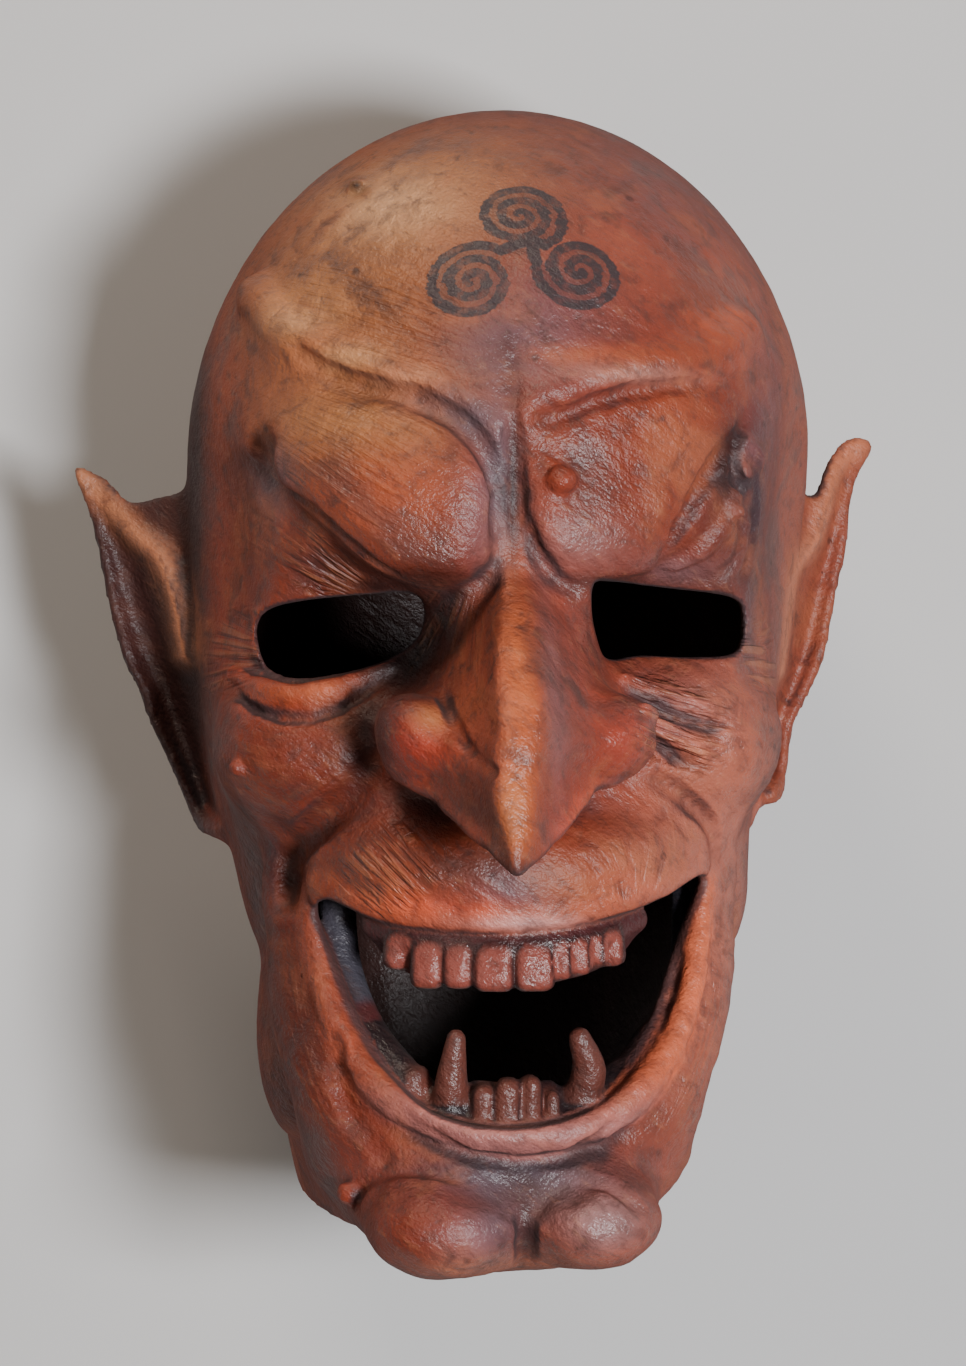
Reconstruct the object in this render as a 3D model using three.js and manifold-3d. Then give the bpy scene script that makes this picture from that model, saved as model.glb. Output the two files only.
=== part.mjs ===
// Orc mask: a full-head mask cast in latex, hollow, lying on the back of its head with the face up.
// Millimetres. X runs to the viewer's right, Y up the head, Z out of the face. The floor is Z = 0.

import * as THREE from 'three';
import { mergeVertices } from 'three/addons/utils/BufferGeometryUtils.js';
import Module from 'manifold-3d';

// Wall and facets
const WALL = 3.8;
const FACET = 7.0;
const INNER_FACET = 13;
const FLARE = 2.3;
const FACE_Z = 190;
const DEPTH_GROWTH = 1.9;
const NECK_END = -168;

// Working the surface out: how far apart, how near and how often it is looked at
const FAR = 1000;
const TINY = 1e-6;
const WELD = 1e-4;
const CLOSED = 0.05;
const SETTLE_SHARE = 4;
const NUDGE = 0.2;
const LEAST_SLOPE = 0.25;
const FRONT_STEP = 2;
const FRONT_NEAR = 0.05;

// Room that the face is worked out in
const ROOM_LOW = [-88, -180, -30];
const ROOM_HIGH = [92, 172, 276];

// Head: rounded masses, each with its middle, half sizes, turn in degrees and how softly it joins
const HEAD_MASSES = [
  { name: 'skull', at: [4, 62, 98], half: [89, 101.5, 105], turn: [0, 0, -2], soft: 20 },
  { name: 'midface', at: [0, -8, 102], half: [80, 92, 90], soft: 24 },
  { name: 'jaw', at: [-3, -88, 122], half: [57, 66, 76], soft: 16 },
  { name: 'neck', at: [-4, -80, 74], half: [56, 130, 78], soft: 20 },
];
const HOLLOWS = [
  { name: 'left socket', at: [-46, 14, 190], half: [28, 21, 22], turn: [0, -14, -10], soft: 10 },
  { name: 'right socket', at: [46, 16, 190], half: [25, 20, 22], turn: [0, 14, 8], soft: 10 },
  { name: 'left temple', at: [-99, 40, 152], half: [24, 40, 34], soft: 18 },
  { name: 'right temple', at: [102, 42, 152], half: [24, 40, 34], soft: 18 },
];
const CHEEK_MASSES = [
  { name: 'left cheek', at: [-50, -18, 150], half: [28, 22, 30], soft: 14 },
  { name: 'right cheek', at: [50, -16, 150], half: [27, 22, 30], soft: 14 },
  { name: 'chin base', at: [-2, -136, 180], half: [42, 20, 28], soft: 10 },
  { name: 'right jaw', at: [38, -120, 164], half: [13, 20, 18], soft: 8 },
  { name: 'left jaw', at: [-42, -120, 160], half: [13, 20, 20], soft: 8 },
];
const NECK_ROLLS = [
  { name: 'left neck roll', at: [-58, -54, 112], half: [11, 20, 20], soft: 7 },
  { name: 'left jaw roll', at: [-55, -100, 116], half: [10, 26, 22], soft: 8 },
  { name: 'right neck roll', at: [62, -56, 112], half: [12, 24, 20], soft: 7 },
];
const MUZZLE = {
  path: [[-50, -50, 152], [-30, -48, 180], [0, -50, 191], [30, -47, 179], [51, -43, 152]],
  radius: [10, 13, 14, 13, 10],
  soft: 12,
};
const JAW_RIM = {
  path: [[-51, -60, 148], [-50, -89, 157], [-39, -113, 174], [-2, -129, 183], [35, -112, 176], [49, -87, 158],
    [52, -56, 148]],
  radius: [13, 13, 13, 13, 13, 13, 13],
  soft: 10,
};

// Brows: cushions with a drawn outline in front view and a domed face
const BROWS = [
  {
    outline: [[-72, 64], [-58, 49], [-40, 32], [-24, 25], [-6, 28.5], [-2, 46], [-6, 64], [-20, 73],
      [-44, 79], [-62, 90], [-72, 94], [-80, 80]],
    at: [-17, 46, 130],
    half: [64, 57, 80],
  },
  {
    outline: [[-0.2, 68], [1.2, 48], [9, 31.5], [28, 28], [42, 38], [56, 58], [70, 76], [50, 79.5],
      [30, 76.5], [9, 70]],
    at: [-6, 43, 124],
    half: [88, 54, 83],
  },
];
const BROW_EDGE = 8;
const BROW_SOFT = 3;

// Frown folds: rolls laid on the surface through points of the front view
const FROWN_RADII = [5, 7, 8, 8, 8];
const FROWN_FOLDS = [
  { path: [[-6, 66], [-13, 75], [-30, 83], [-48, 90], [-62, 102]], radius: FROWN_RADII, lift: 3, soft: 8 },
  { path: [[1, 72], [12, 81], [28, 86], [44, 89], [62, 96]], radius: FROWN_RADII, lift: 3, soft: 8 },
];

// Nose: a bridge, two side planes, an underside and two wings that run down to the hooked tip
const NOSE_BRIDGE = {
  path: [[0, 38, 190], [-1, 22, 206], [-1, 6, 221], [-2, -10, 231], [-3, -22, 236], [-5, -36, 245],
    [-6, -47, 252]],
  radius: [8, 10, 12, 13, 13, 8, 3.4],
  soft: 2,
};
const NOSE_SIDES = [
  { path: [[-5, 24, 192], [-14, 4, 198], [-18, -10, 208]], radius: [9, 13, 16], soft: 7 },
  { path: [[8, 24, 192], [16, 4, 199], [16, -10, 209]], radius: [9, 13, 16], soft: 7 },
  { path: [[-1, -26, 190], [-2, -31, 214], [-5, -40, 238]], radius: [12, 10, 6], soft: 7 },
];
const WING_RADII = [12.5, 11, 7, 3];
const NOSE_WINGS = [
  { path: [[-26, -16, 202], [-17, -27, 226], [-10, -38, 243], [-6, -47, 252]], radius: WING_RADII, soft: 4 },
  { path: [[25, -16, 202], [14, -27, 227], [2, -38, 244], [-6, -47, 252]], radius: WING_RADII, soft: 4 },
];
const NOSE_SOFT = 4;
const NOSE_CAVITY = {
  path: [[0, 22, 178], [-1, 6, 197], [-2, -6, 211], [-2, -12, 219]],
  radius: [9, 11, 9, 4],
  soft: 8,
};

// Lips and chin
const UPPER_LIP = {
  path: [[-49, -57], [-34, -63], [-12, -63.5], [10, -62.5], [32, -58], [50, -51]],
  radius: [4, 5, 5.5, 5.5, 5, 4],
  lift: 1.5,
  soft: 6,
};
const LOWER_LIP = {
  path: [[-52, -58, 162], [-50.5, -75, 168], [-44, -95, 180], [-30, -110, 193], [0, -118.6, 203],
    [27, -112, 195], [43, -96, 182], [51, -76, 170], [54, -54, 161]],
  radius: [3.5, 4, 4.6, 5.2, 5.6, 5.2, 4.6, 4, 3.5],
};
const LIP_SIDES = 8;
const LIP_ROWS = 22;
const CHIN_BALLS = [
  { name: 'left ball', at: [-19.5, -140.5, 194], half: [21, 15.5, 21], turn: [0, -6, 0], soft: 3 },
  { name: 'right ball', at: [20.5, -141, 194], half: [18, 15.5, 21], turn: [0, 6, 0], soft: 3 },
];
const CHIN_SOFT = 5;

// Openings, as outlines of the front view
const MOUTH = [[-50.5, -58.5], [-44, -80], [-35, -99], [-22, -112], [0, -115.5], [23, -109.5], [37, -92],
  [48, -66], [53, -52.5], [42, -58.5], [30, -62.5], [10, -66.5], [-10, -67.5], [-34, -65.5]];
const LEFT_EYE = [[-66.5, 14], [-64, 19.5], [-55, 22], [-40, 23.5], [-27, 24], [-23, 20], [-24.5, 12],
  [-32, 6.5], [-43, 3], [-56, 1.5], [-64, 4.5]];
const RIGHT_EYE = [[20.5, 25], [26, 27], [44, 25.5], [62, 23], [65, 17], [63, 8.5], [50, 7], [36, 7.5],
  [26, 6.5], [23, 12]];
const OPENING_BACK = 120;
const OPENING_DEPTH = 190;
const OPENING_STEPS = 2;

// Neck opening: everything below a sloping plane is open
const RIM_Y = -137;
const RIM_SLOPE = -0.13;
const BLOCK_SIZE = 600;

// Teeth: two gums that run behind the lips; each tooth has a left edge, a right edge and an end
const UPPER_GUM = {
  path: [[-36, -64, 176], [-24, -68, 189], [0, -69, 197], [20, -67, 192], [33, -63, 180]],
  radius: 4.6,
};
const LOWER_GUM = {
  path: [[-38, -101, 172], [-24, -113, 186], [0, -118, 195], [24, -111, 187], [38, -97, 174]],
  radius: 5,
};
const GUM_STEPS = 8;
const GUM_SEGMENTS = 3;
const GUM_POINTS = 60;
const UPPER_TEETH = [[-33, -27.4, -75.7], [-26.4, -19, -80.3], [-18.3, -11.6, -80.1], [-10.7, -1.2, -80.7],
  [-0.2, 9.2, -80.6], [9.7, 13.9, -77.8], [14.4, 19.1, -76.8], [19.6, 23.3, -74.9], [23.7, 28.2, -74.9]];
const LOWER_TEETH = [[-10.9, -5.6, -105], [-5.2, 0.9, -103.2], [1.2, 6.1, -102.5], [7.2, 10.6, -106.5]];
const TOOTH_DEPTH = 4;
const TOOTH_ROOT = 3;
const TOOTH_SIDES = 6;
const TOOTH_ROWS = 4;
const TUSKS = [
  { path: [[-16.5, -115, 190], [-16.8, -105, 193], [-15.8, -92, 196]], radius: [5.2, 4.4, 2] },
  { path: [[15.5, -113, 190], [18.6, -102, 194], [17, -92, 197]], radius: [5.5, 4.6, 2.4] },
];
const TUSK_SIDES = 7;
const TUSK_ROWS = 6;

// Ears: a leaf between an inner edge on the head and an outer edge, from the lobe up to the point
const EAR_ROOT_Z = 102;
const EAR_EDGE_Z = 88;
const EAR_TIP_Z = 78;
const EAR_THICK = 4.4;
const EAR_FULL_WIDTH = 25;
const EAR_HOLLOW = 8;
const EAR_RIDGE = 5;
const EAR_RIDGE_AT = 0.35;
const EAR_RIDGE_WIDTH = 0.18;
const EAR_COLUMNS = 12;
const EAR_ROWS = 12;
const EARS = [
  {
    outer: [[-79, -43], [-88, -28], [-96, -11], [-103.5, 12], [-111, 36], [-117, 62]],
    inner: [[-71, -38], [-68, -10], [-70, 20], [-76, 42], [-98, 53], [-117, 62]],
  },
  {
    outer: [[87, -34], [91.5, -19], [97.5, -3], [103, 12], [107, 35], [116.5, 73]],
    inner: [[74, -34], [68, -6], [70, 24], [78, 44], [99, 55], [116.5, 73]],
  },
];

// Colours
const LATEX = { color: 0x8f4a2c, roughness: 0.42, metalness: 0 };

const wasm = await Module();
wasm.setup();

const smoothMin = (a, b, k) => {
  const h = Math.max(k - Math.abs(a - b), 0) / k;
  return Math.min(a, b) - h * h * k * 0.25;
};

// A Catmull-Rom curve through points of two or three numbers, and a list of numbers spread along it
const along = (points, steps) => {
  const curve = new THREE.CatmullRomCurve3(points.map((p) => new THREE.Vector3(p[0], p[1], p[2] ?? 0)));
  return curve.getPoints(steps);
};
const spread = (values, count) => Array.from({ length: count }, (_, i) => {
  const t = (i / (count - 1)) * (values.length - 1);
  const low = Math.min(Math.floor(t), values.length - 2);
  return THREE.MathUtils.lerp(values[low], values[low + 1], t - low);
});

// Distance to an ellipsoid, negative inside
function ellipsoid({ at, half, turn = [0, 0, 0] }) {
  const angles = turn.map((degrees) => THREE.MathUtils.degToRad(degrees));
  const back = new THREE.Matrix4().makeRotationFromEuler(new THREE.Euler(...angles, 'ZYX')).invert();
  const p = new THREE.Vector3();
  return (x, y, z) => {
    p.set(x - at[0], y - at[1], z - at[2]).applyMatrix4(back);
    const near = Math.hypot(p.x / half[0], p.y / half[1], p.z / half[2]);
    const slope = Math.hypot(p.x / half[0] ** 2, p.y / half[1] ** 2, p.z / half[2] ** 2);
    return (near * (near - 1)) / Math.max(slope, TINY);
  };
}

// Distance to a tube of changing radius along a smooth path
function tube({ path, radius }, stepsPerPoint = 4) {
  const points = path.length > 2 ? along(path, (path.length - 1) * stepsPerPoint) : along(path, 1);
  const radii = spread(radius, points.length);
  const parts = points.slice(1).map((end, i) => {
    const start = points[i];
    const way = end.clone().sub(start);
    return { start, way, length2: way.lengthSq(), low: radii[i], grow: radii[i + 1] - radii[i] };
  });
  return (x, y, z) => {
    let best = Infinity;
    for (const { start, way, length2, low, grow } of parts) {
      const dx = x - start.x;
      const dy = y - start.y;
      const dz = z - start.z;
      const t = Math.min(Math.max((dx * way.x + dy * way.y + dz * way.z) / length2, 0), 1);
      const gap = Math.hypot(dx - t * way.x, dy - t * way.y, dz - t * way.z);
      best = Math.min(best, gap - low - t * grow);
    }
    return best;
  };
}

// Distance to a closed smooth outline in the front view, negative inside
const closedOutline = (points, steps = 4) => {
  const curve = new THREE.CatmullRomCurve3(points.map(([x, y]) => new THREE.Vector3(x, y, 0)), true);
  return curve.getPoints(points.length * steps).slice(0, -1);
};
function outlineDistance(points) {
  const ring = closedOutline(points);
  return (x, y) => {
    let best = Infinity;
    let inside = false;
    ring.forEach((a, i) => {
      const b = ring[(i + 1) % ring.length];
      const ex = b.x - a.x;
      const ey = b.y - a.y;
      const t = Math.min(Math.max(((x - a.x) * ex + (y - a.y) * ey) / (ex * ex + ey * ey), 0), 1);
      best = Math.min(best, (x - a.x - t * ex) ** 2 + (y - a.y - t * ey) ** 2);
      if (a.y > y !== b.y > y && x < a.x + (ex * (y - a.y)) / ey) inside = !inside;
    });
    return inside ? -Math.sqrt(best) : Math.sqrt(best);
  };
}

// A cushion: an outline of the front view under a domed face
function cushion({ outline, at, half }, edge) {
  const side = outlineDistance(outline);
  const dome = ellipsoid({ at, half });
  return (x, y, z) => -smoothMin(-side(x, y), -dome(x, y, z), edge);
}

// A form that grows by joining and cutting shapes with soft edges
class Form {
  constructor() {
    this.steps = [];
  }

  join(shape, soft) {
    this.steps.push({ shape, soft, cut: false });
    return this;
  }

  cut(shape, soft) {
    this.steps.push({ shape, soft, cut: true });
    return this;
  }

  at(x, y, z) {
    let value = FAR;
    for (const { shape, soft, cut } of this.steps) {
      const other = shape(x, y, z);
      value = cut ? -smoothMin(-value, other, soft) : smoothMin(value, other, soft);
    }
    return value;
  }

  // Height of the surface under a point of the front view
  front(x, y) {
    let z = ROOM_HIGH[2];
    while (z > 0 && this.at(x, y, z) > 0) z -= FRONT_STEP;
    for (let step = FRONT_STEP / 2; step > FRONT_NEAR; step /= 2) z += this.at(x, y, z) > 0 ? -step : step;
    return z;
  }

  // A roll laid on the surface, standing proud of it by its lift
  fold({ path, radius, lift, soft }) {
    const points = along(path, (path.length - 1) * 4);
    const radii = spread(radius, points.length);
    const laid = points.map((p, i) => [p.x, p.y, this.front(p.x, p.y) + lift - radii[i]]);
    return this.join(tube({ path: laid, radius: radii }, 1), soft);
  }
}

function noseForm() {
  const nose = new Form();
  nose.join(tube(NOSE_BRIDGE), NOSE_BRIDGE.soft);
  for (const part of [...NOSE_SIDES, ...NOSE_WINGS]) nose.join(tube(part), part.soft);
  return (x, y, z) => nose.at(x, y, z);
}

function chinForm() {
  const chin = new Form();
  for (const ball of CHIN_BALLS) chin.join(ellipsoid(ball), ball.soft);
  return (x, y, z) => chin.at(x, y, z);
}

// The masses that carry the face
function massForm() {
  const head = new Form();
  for (const mass of HEAD_MASSES) head.join(ellipsoid(mass), mass.soft);
  for (const hollow of HOLLOWS) head.cut(ellipsoid(hollow), hollow.soft);
  for (const mass of CHEEK_MASSES) head.join(ellipsoid(mass), mass.soft);
  head.join(tube(MUZZLE), MUZZLE.soft);
  head.join(tube(JAW_RIM), JAW_RIM.soft);
  for (const brow of BROWS) head.join(cushion(brow, BROW_EDGE), BROW_SOFT);
  return head;
}

// The whole outside of the head, before anything is opened
function outsideForm() {
  const head = massForm();
  for (const roll of NECK_ROLLS) head.join(ellipsoid(roll), roll.soft);
  for (const fold of FROWN_FOLDS) head.fold(fold);
  head.join(noseForm(), NOSE_SOFT);
  head.fold(UPPER_LIP);
  head.join(chinForm(), CHIN_SOFT);
  return (x, y, z) => Math.max(head.at(x, y, z), NECK_END - y);
}

// The inside: the masses drawn in by the wall, with the nose hollow behind its bridge
function insideForm() {
  const head = massForm();
  const nose = tube(NOSE_CAVITY);
  return (x, y, z) => {
    const hollow = smoothMin(head.at(x, y, z) + WALL, nose(x, y, z), NOSE_CAVITY.soft);
    return Math.max(hollow, NECK_END + WALL - y);
  };
}

// Levels from low to high whose spacing grows away from the face
const levels = (low, high, step) => {
  const out = [high];
  while (out[out.length - 1] > low) {
    const z = out[out.length - 1];
    out.push(z - step * (1 + (DEPTH_GROWTH * Math.max(FACE_Z - z, 0)) / FACE_Z));
  }
  return out.reverse();
};
const evenly = (low, high, step) => {
  const count = Math.ceil((high - low) / step);
  return Array.from({ length: count + 1 }, (_, i) => low + (i * (high - low)) / count);
};

// The surface where the value is zero, on a lattice that flares away from the face
function surfaceOf(value, facet) {
  const widen = (z) => 1 + (FLARE * Math.max(FACE_Z - z, 0)) / FACE_Z;
  const xs = evenly(ROOM_LOW[0], ROOM_HIGH[0], facet);
  const ys = evenly(ROOM_LOW[1], ROOM_HIGH[1], facet);
  const zs = levels(ROOM_LOW[2], ROOM_HIGH[2], facet);
  const place = (i, j, k) => [xs[i] * widen(zs[k]), ys[j] * widen(zs[k]), zs[k]];
  const [nx, ny, nz] = [xs.length, ys.length, zs.length];
  const index = (i, j, k) => (k * ny + j) * nx + i;
  const field = new Float64Array(nx * ny * nz);
  for (let k = 0; k < nz; k++) {
    for (let j = 0; j < ny; j++) {
      for (let i = 0; i < nx; i++) field[index(i, j, k)] = value(...place(i, j, k));
    }
  }

  closeDiagonals(field, [nx, ny, nz], index);

  const corners = [0, 1, 2, 3, 4, 5, 6, 7].map((c) => [c & 1, (c >> 1) & 1, c >> 2]);
  const edges = [1, 2, 4].flatMap((bit) => corners.map((_, c) => [c, c | bit]).filter(([a, b]) => a !== b));
  const vertexOf = new Int32Array(nx * ny * nz).fill(-1);
  const positions = [];
  for (let k = 0; k < nz - 1; k++) {
    for (let j = 0; j < ny - 1; j++) {
      for (let i = 0; i < nx - 1; i++) {
        const values = corners.map(([a, b, c]) => field[index(i + a, j + b, k + c)]);
        const crossing = edges.filter(([a, b]) => values[a] < 0 !== values[b] < 0);
        if (!crossing.length) continue;
        const sum = new THREE.Vector3();
        for (const [a, b] of crossing) {
          const from = new THREE.Vector3(...place(i + corners[a][0], j + corners[a][1], k + corners[a][2]));
          const to = new THREE.Vector3(...place(i + corners[b][0], j + corners[b][1], k + corners[b][2]));
          sum.add(from.lerp(to, values[a] / (values[a] - values[b])));
        }
        vertexOf[index(i, j, k)] = positions.length / 3;
        positions.push(...sum.divideScalar(crossing.length).toArray());
      }
    }
  }
  settle(positions, value, facet / SETTLE_SHARE);

  const faces = [];
  const steps = [[1, 0, 0], [0, 1, 0], [0, 0, 1]];
  for (let k = 1; k < nz - 1; k++) {
    for (let j = 1; j < ny - 1; j++) {
      for (let i = 1; i < nx - 1; i++) {
        steps.forEach((step, axis) => {
          const here = field[index(i, j, k)] < 0;
          const next = field[index(i + step[0], j + step[1], k + step[2])] < 0;
          if (here === next) return;
          const u = steps[(axis + 1) % 3];
          const v = steps[(axis + 2) % 3];
          const ring = [[0, 0], [1, 0], [1, 1], [0, 1]].map(([a, b]) => vertexOf[index(
            i - a * u[0] - b * v[0],
            j - a * u[1] - b * v[1],
            k - a * u[2] - b * v[2],
          )]);
          if (!here) ring.reverse();
          faces.push(...splitQuad(positions, ring));
        });
      }
    }
  }
  return { positions, faces };
}

// Where the form touches itself only across the diagonal of a lattice square, joins it there
function closeDiagonals(field, [nx, ny, nz], index) {
  const sides = [[[1, 0, 0], [0, 1, 0]], [[0, 1, 0], [0, 0, 1]], [[0, 0, 1], [1, 0, 0]]];
  let found = true;
  while (found) {
    found = false;
    for (let k = 0; k < nz - 1; k++) {
      for (let j = 0; j < ny - 1; j++) {
        for (let i = 0; i < nx - 1; i++) {
          for (const [u, v] of sides) {
            const square = [
              index(i, j, k),
              index(i + u[0], j + u[1], k + u[2]),
              index(i + u[0] + v[0], j + u[1] + v[1], k + u[2] + v[2]),
              index(i + v[0], j + v[1], k + v[2]),
            ];
            const [a, b, c, d] = square.map((n) => field[n] < 0);
            if (a !== c || b !== d || a === b) continue;
            const open = square.filter((n) => field[n] >= 0);
            field[open[field[open[0]] < field[open[1]] ? 0 : 1]] = -CLOSED;
            found = true;
          }
        }
      }
    }
  }
}

// Moves each vertex onto the surface, by no more than a limit
function settle(positions, value, limit) {
  for (let i = 0; i < positions.length; i += 3) {
    const start = new THREE.Vector3().fromArray(positions, i);
    const p = start.clone();
    for (let pass = 0; pass < 2; pass++) {
      const v = value(p.x, p.y, p.z);
      const slope = new THREE.Vector3(
        value(p.x + NUDGE, p.y, p.z) - v,
        value(p.x, p.y + NUDGE, p.z) - v,
        value(p.x, p.y, p.z + NUDGE) - v,
      ).divideScalar(NUDGE);
      p.addScaledVector(slope, -v / Math.max(slope.lengthSq(), LEAST_SLOPE));
    }
    const move = p.sub(start).clampLength(0, limit);
    start.add(move).toArray(positions, i);
  }
}

// Two triangles of a four-sided facet, split along its shorter diagonal
function splitQuad(positions, [a, b, c, d]) {
  const gap = (p, q) => Math.hypot(...[0, 1, 2].map((n) => positions[3 * p + n] - positions[3 * q + n]));
  return gap(a, c) < gap(b, d) ? [a, b, c, a, c, d] : [b, c, d, b, d, a];
}

const solidOf = (positions, faces) => new wasm.Manifold(new wasm.Mesh({
  numProp: 3,
  vertProperties: new Float32Array(positions),
  triVerts: new Uint32Array(faces),
}));
function solidOfGeometry(geometry) {
  geometry.deleteAttribute('normal');
  geometry.deleteAttribute('uv');
  const merged = mergeVertices(geometry, WELD);
  return solidOf(merged.getAttribute('position').array, merged.index.array);
}

// A prism of the front view through the wall of the face
function openingSolid(points) {
  const shape = new THREE.Shape(closedOutline(points, OPENING_STEPS).map((p) => new THREE.Vector2(p.x, p.y)));
  const geometry = new THREE.ExtrudeGeometry(shape, { depth: OPENING_DEPTH, bevelEnabled: false });
  return solidOfGeometry(geometry.translate(0, 0, OPENING_BACK));
}

// A block whose top is a plane through a height, tilted about X
function blockBelow(y, z, tilt) {
  const geometry = new THREE.BoxGeometry(BLOCK_SIZE, BLOCK_SIZE, BLOCK_SIZE).translate(0, -BLOCK_SIZE / 2, 0);
  return solidOfGeometry(geometry.rotateX(tilt).translate(0, y, z));
}

function gumSolid({ path, radius }) {
  const curve = new THREE.CatmullRomCurve3(path.map((p) => new THREE.Vector3(...p)));
  const circle = new THREE.Shape().absarc(0, 0, radius, 0, Math.PI * 2);
  const settings = { steps: GUM_STEPS, curveSegments: GUM_SEGMENTS, extrudePath: curve };
  return solidOfGeometry(new THREE.ExtrudeGeometry(circle, settings));
}

// Teeth hang from a gum, or stand on it, where the gum passes their place
function toothSolids(gum, teeth) {
  const line = along(gum.path, GUM_POINTS);
  return teeth.map(([left, right, end]) => {
    const x = (left + right) / 2;
    const root = line.reduce((best, p) => (Math.abs(p.x - x) < Math.abs(best.x - x) ? p : best));
    const start = root.y + TOOTH_ROOT * Math.sign(root.y - end);
    const geometry = new THREE.SphereGeometry(1, TOOTH_SIDES, TOOTH_ROWS);
    geometry.scale((right - left) / 2, Math.abs(start - end) / 2, TOOTH_DEPTH);
    return solidOfGeometry(geometry.translate(x, (start + end) / 2, root.z + 1));
  });
}

// A sphere whose points are moved, each by its height from 0 to 1 and by its place round the middle
function drawnOut(columns, rows, place) {
  const geometry = new THREE.SphereGeometry(1, columns, rows);
  const position = geometry.getAttribute('position');
  for (let i = 0; i < position.count; i++) {
    const height = Math.acos(THREE.MathUtils.clamp(-position.getY(i), -1, 1)) / Math.PI;
    const across = Math.hypot(position.getX(i), position.getZ(i));
    const side = across > TINY ? position.getX(i) / across : 0;
    const front = across > TINY ? position.getZ(i) / across : 0;
    position.setXYZ(i, ...place(height, side, front));
  }
  return solidOfGeometry(geometry);
}

// A sphere drawn out along a path: a tusk, or a lip
function drawnAlong({ path, radius }, columns, rows) {
  const curve = new THREE.CatmullRomCurve3(path.map((p) => new THREE.Vector3(...p)));
  const frames = curve.computeFrenetFrames(rows, false);
  const radii = spread(radius, rows + 1);
  return drawnOut(columns, rows, (height, side, front) => {
    const row = Math.round(height * rows);
    const closed = row === 0 || row === rows;
    const r = closed ? 0 : radii[row];
    const p = curve.getPoint(height);
    p.addScaledVector(frames.binormals[row], side * r).addScaledVector(frames.normals[row], front * r);
    return p.toArray();
  });
}

// An ear: a leaf between its two edges, with a ridge along it and a hollow beside the ridge
function earSolid({ outer, inner }) {
  const edgeOf = (points) => new THREE.CatmullRomCurve3(points.map(([x, y]) => new THREE.Vector3(x, y, 0)));
  const outerEdge = edgeOf(outer);
  const innerEdge = edgeOf(inner);
  const outward = Math.sign(outer[0][0]);
  return drawnOut(EAR_COLUMNS, EAR_ROWS, (height, side, front) => {
    const from = innerEdge.getPoint(height);
    const to = outerEdge.getPoint(height);
    const width = from.distanceTo(to);
    const share = (1 + side * outward) / 2;
    const full = Math.min(1, width / EAR_FULL_WIDTH);
    const thick = EAR_THICK * Math.min(1, (2 * width) / EAR_FULL_WIDTH);
    const ridge = EAR_RIDGE * full * Math.exp(-(((share - EAR_RIDGE_AT) / EAR_RIDGE_WIDTH) ** 2));
    const beside = Math.max(share - EAR_RIDGE_AT, 0) / (1 - EAR_RIDGE_AT);
    const hollow = EAR_HOLLOW * full * Math.sin(Math.PI * beside);
    const base = THREE.MathUtils.lerp(EAR_ROOT_Z, EAR_EDGE_Z, share);
    const rest = THREE.MathUtils.lerp(base, EAR_TIP_Z, height ** 2);
    const z = rest + ridge - hollow + (front * thick) / 2;
    const p = from.lerp(to, share);
    return [p.x, p.y, z];
  });
}

// The mask
function maskSolid() {
  const outside = surfaceOf(outsideForm(), FACET);
  const inside = surfaceOf(insideForm(), INNER_FACET);
  const hollow = solidOf(inside.positions, inside.faces).subtract(blockBelow(0, WALL, Math.PI / 2));
  let mask = solidOf(outside.positions, outside.faces);
  for (const ear of EARS) mask = mask.add(earSolid(ear));
  mask = mask.add(drawnAlong(LOWER_LIP, LIP_SIDES, LIP_ROWS));
  mask = mask.subtract(hollow);
  for (const outline of [MOUTH, LEFT_EYE, RIGHT_EYE]) mask = mask.subtract(openingSolid(outline));
  const teeth = [
    gumSolid(UPPER_GUM),
    gumSolid(LOWER_GUM),
    ...toothSolids(UPPER_GUM, UPPER_TEETH),
    ...toothSolids(LOWER_GUM, LOWER_TEETH),
    ...TUSKS.map((tusk) => drawnAlong(tusk, TUSK_SIDES, TUSK_ROWS)),
  ];
  for (const tooth of teeth) mask = mask.add(tooth);
  mask = mask.subtract(blockBelow(0, 0, Math.PI / 2));
  mask = mask.subtract(blockBelow(RIM_Y, 0, -Math.atan(RIM_SLOPE)));
  return mask.decompose().reduce((largest, body) => (body.volume() > largest.volume() ? body : largest));
}

// Turns a solid into a geometry that is centred over the origin and stands on Z = 0
function geometryOf(solid) {
  const mesh = solid.getMesh();
  const geometry = new THREE.BufferGeometry();
  geometry.setAttribute('position', new THREE.BufferAttribute(mesh.vertProperties, 3));
  geometry.setIndex(new THREE.BufferAttribute(mesh.triVerts, 1));
  geometry.computeBoundingBox();
  const { min, max } = geometry.boundingBox;
  geometry.translate(-(min.x + max.x) / 2, -(min.y + max.y) / 2, -min.z);
  geometry.computeVertexNormals();
  return geometry;
}

const mask = new THREE.Mesh(geometryOf(maskSolid()), new THREE.MeshStandardMaterial(LATEX));
mask.name = 'orc_mask';

const group = new THREE.Group();
group.add(mask);

export default group;
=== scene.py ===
"""Orc mask: the painted latex surface of the mask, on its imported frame.

The forms are in millimetres with X to the viewer's right, Y up the head and Z out of the face,
and are moved onto the frame at the end.
"""

import math

import bpy
import numpy as np
from mathutils import Matrix, Vector


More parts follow.
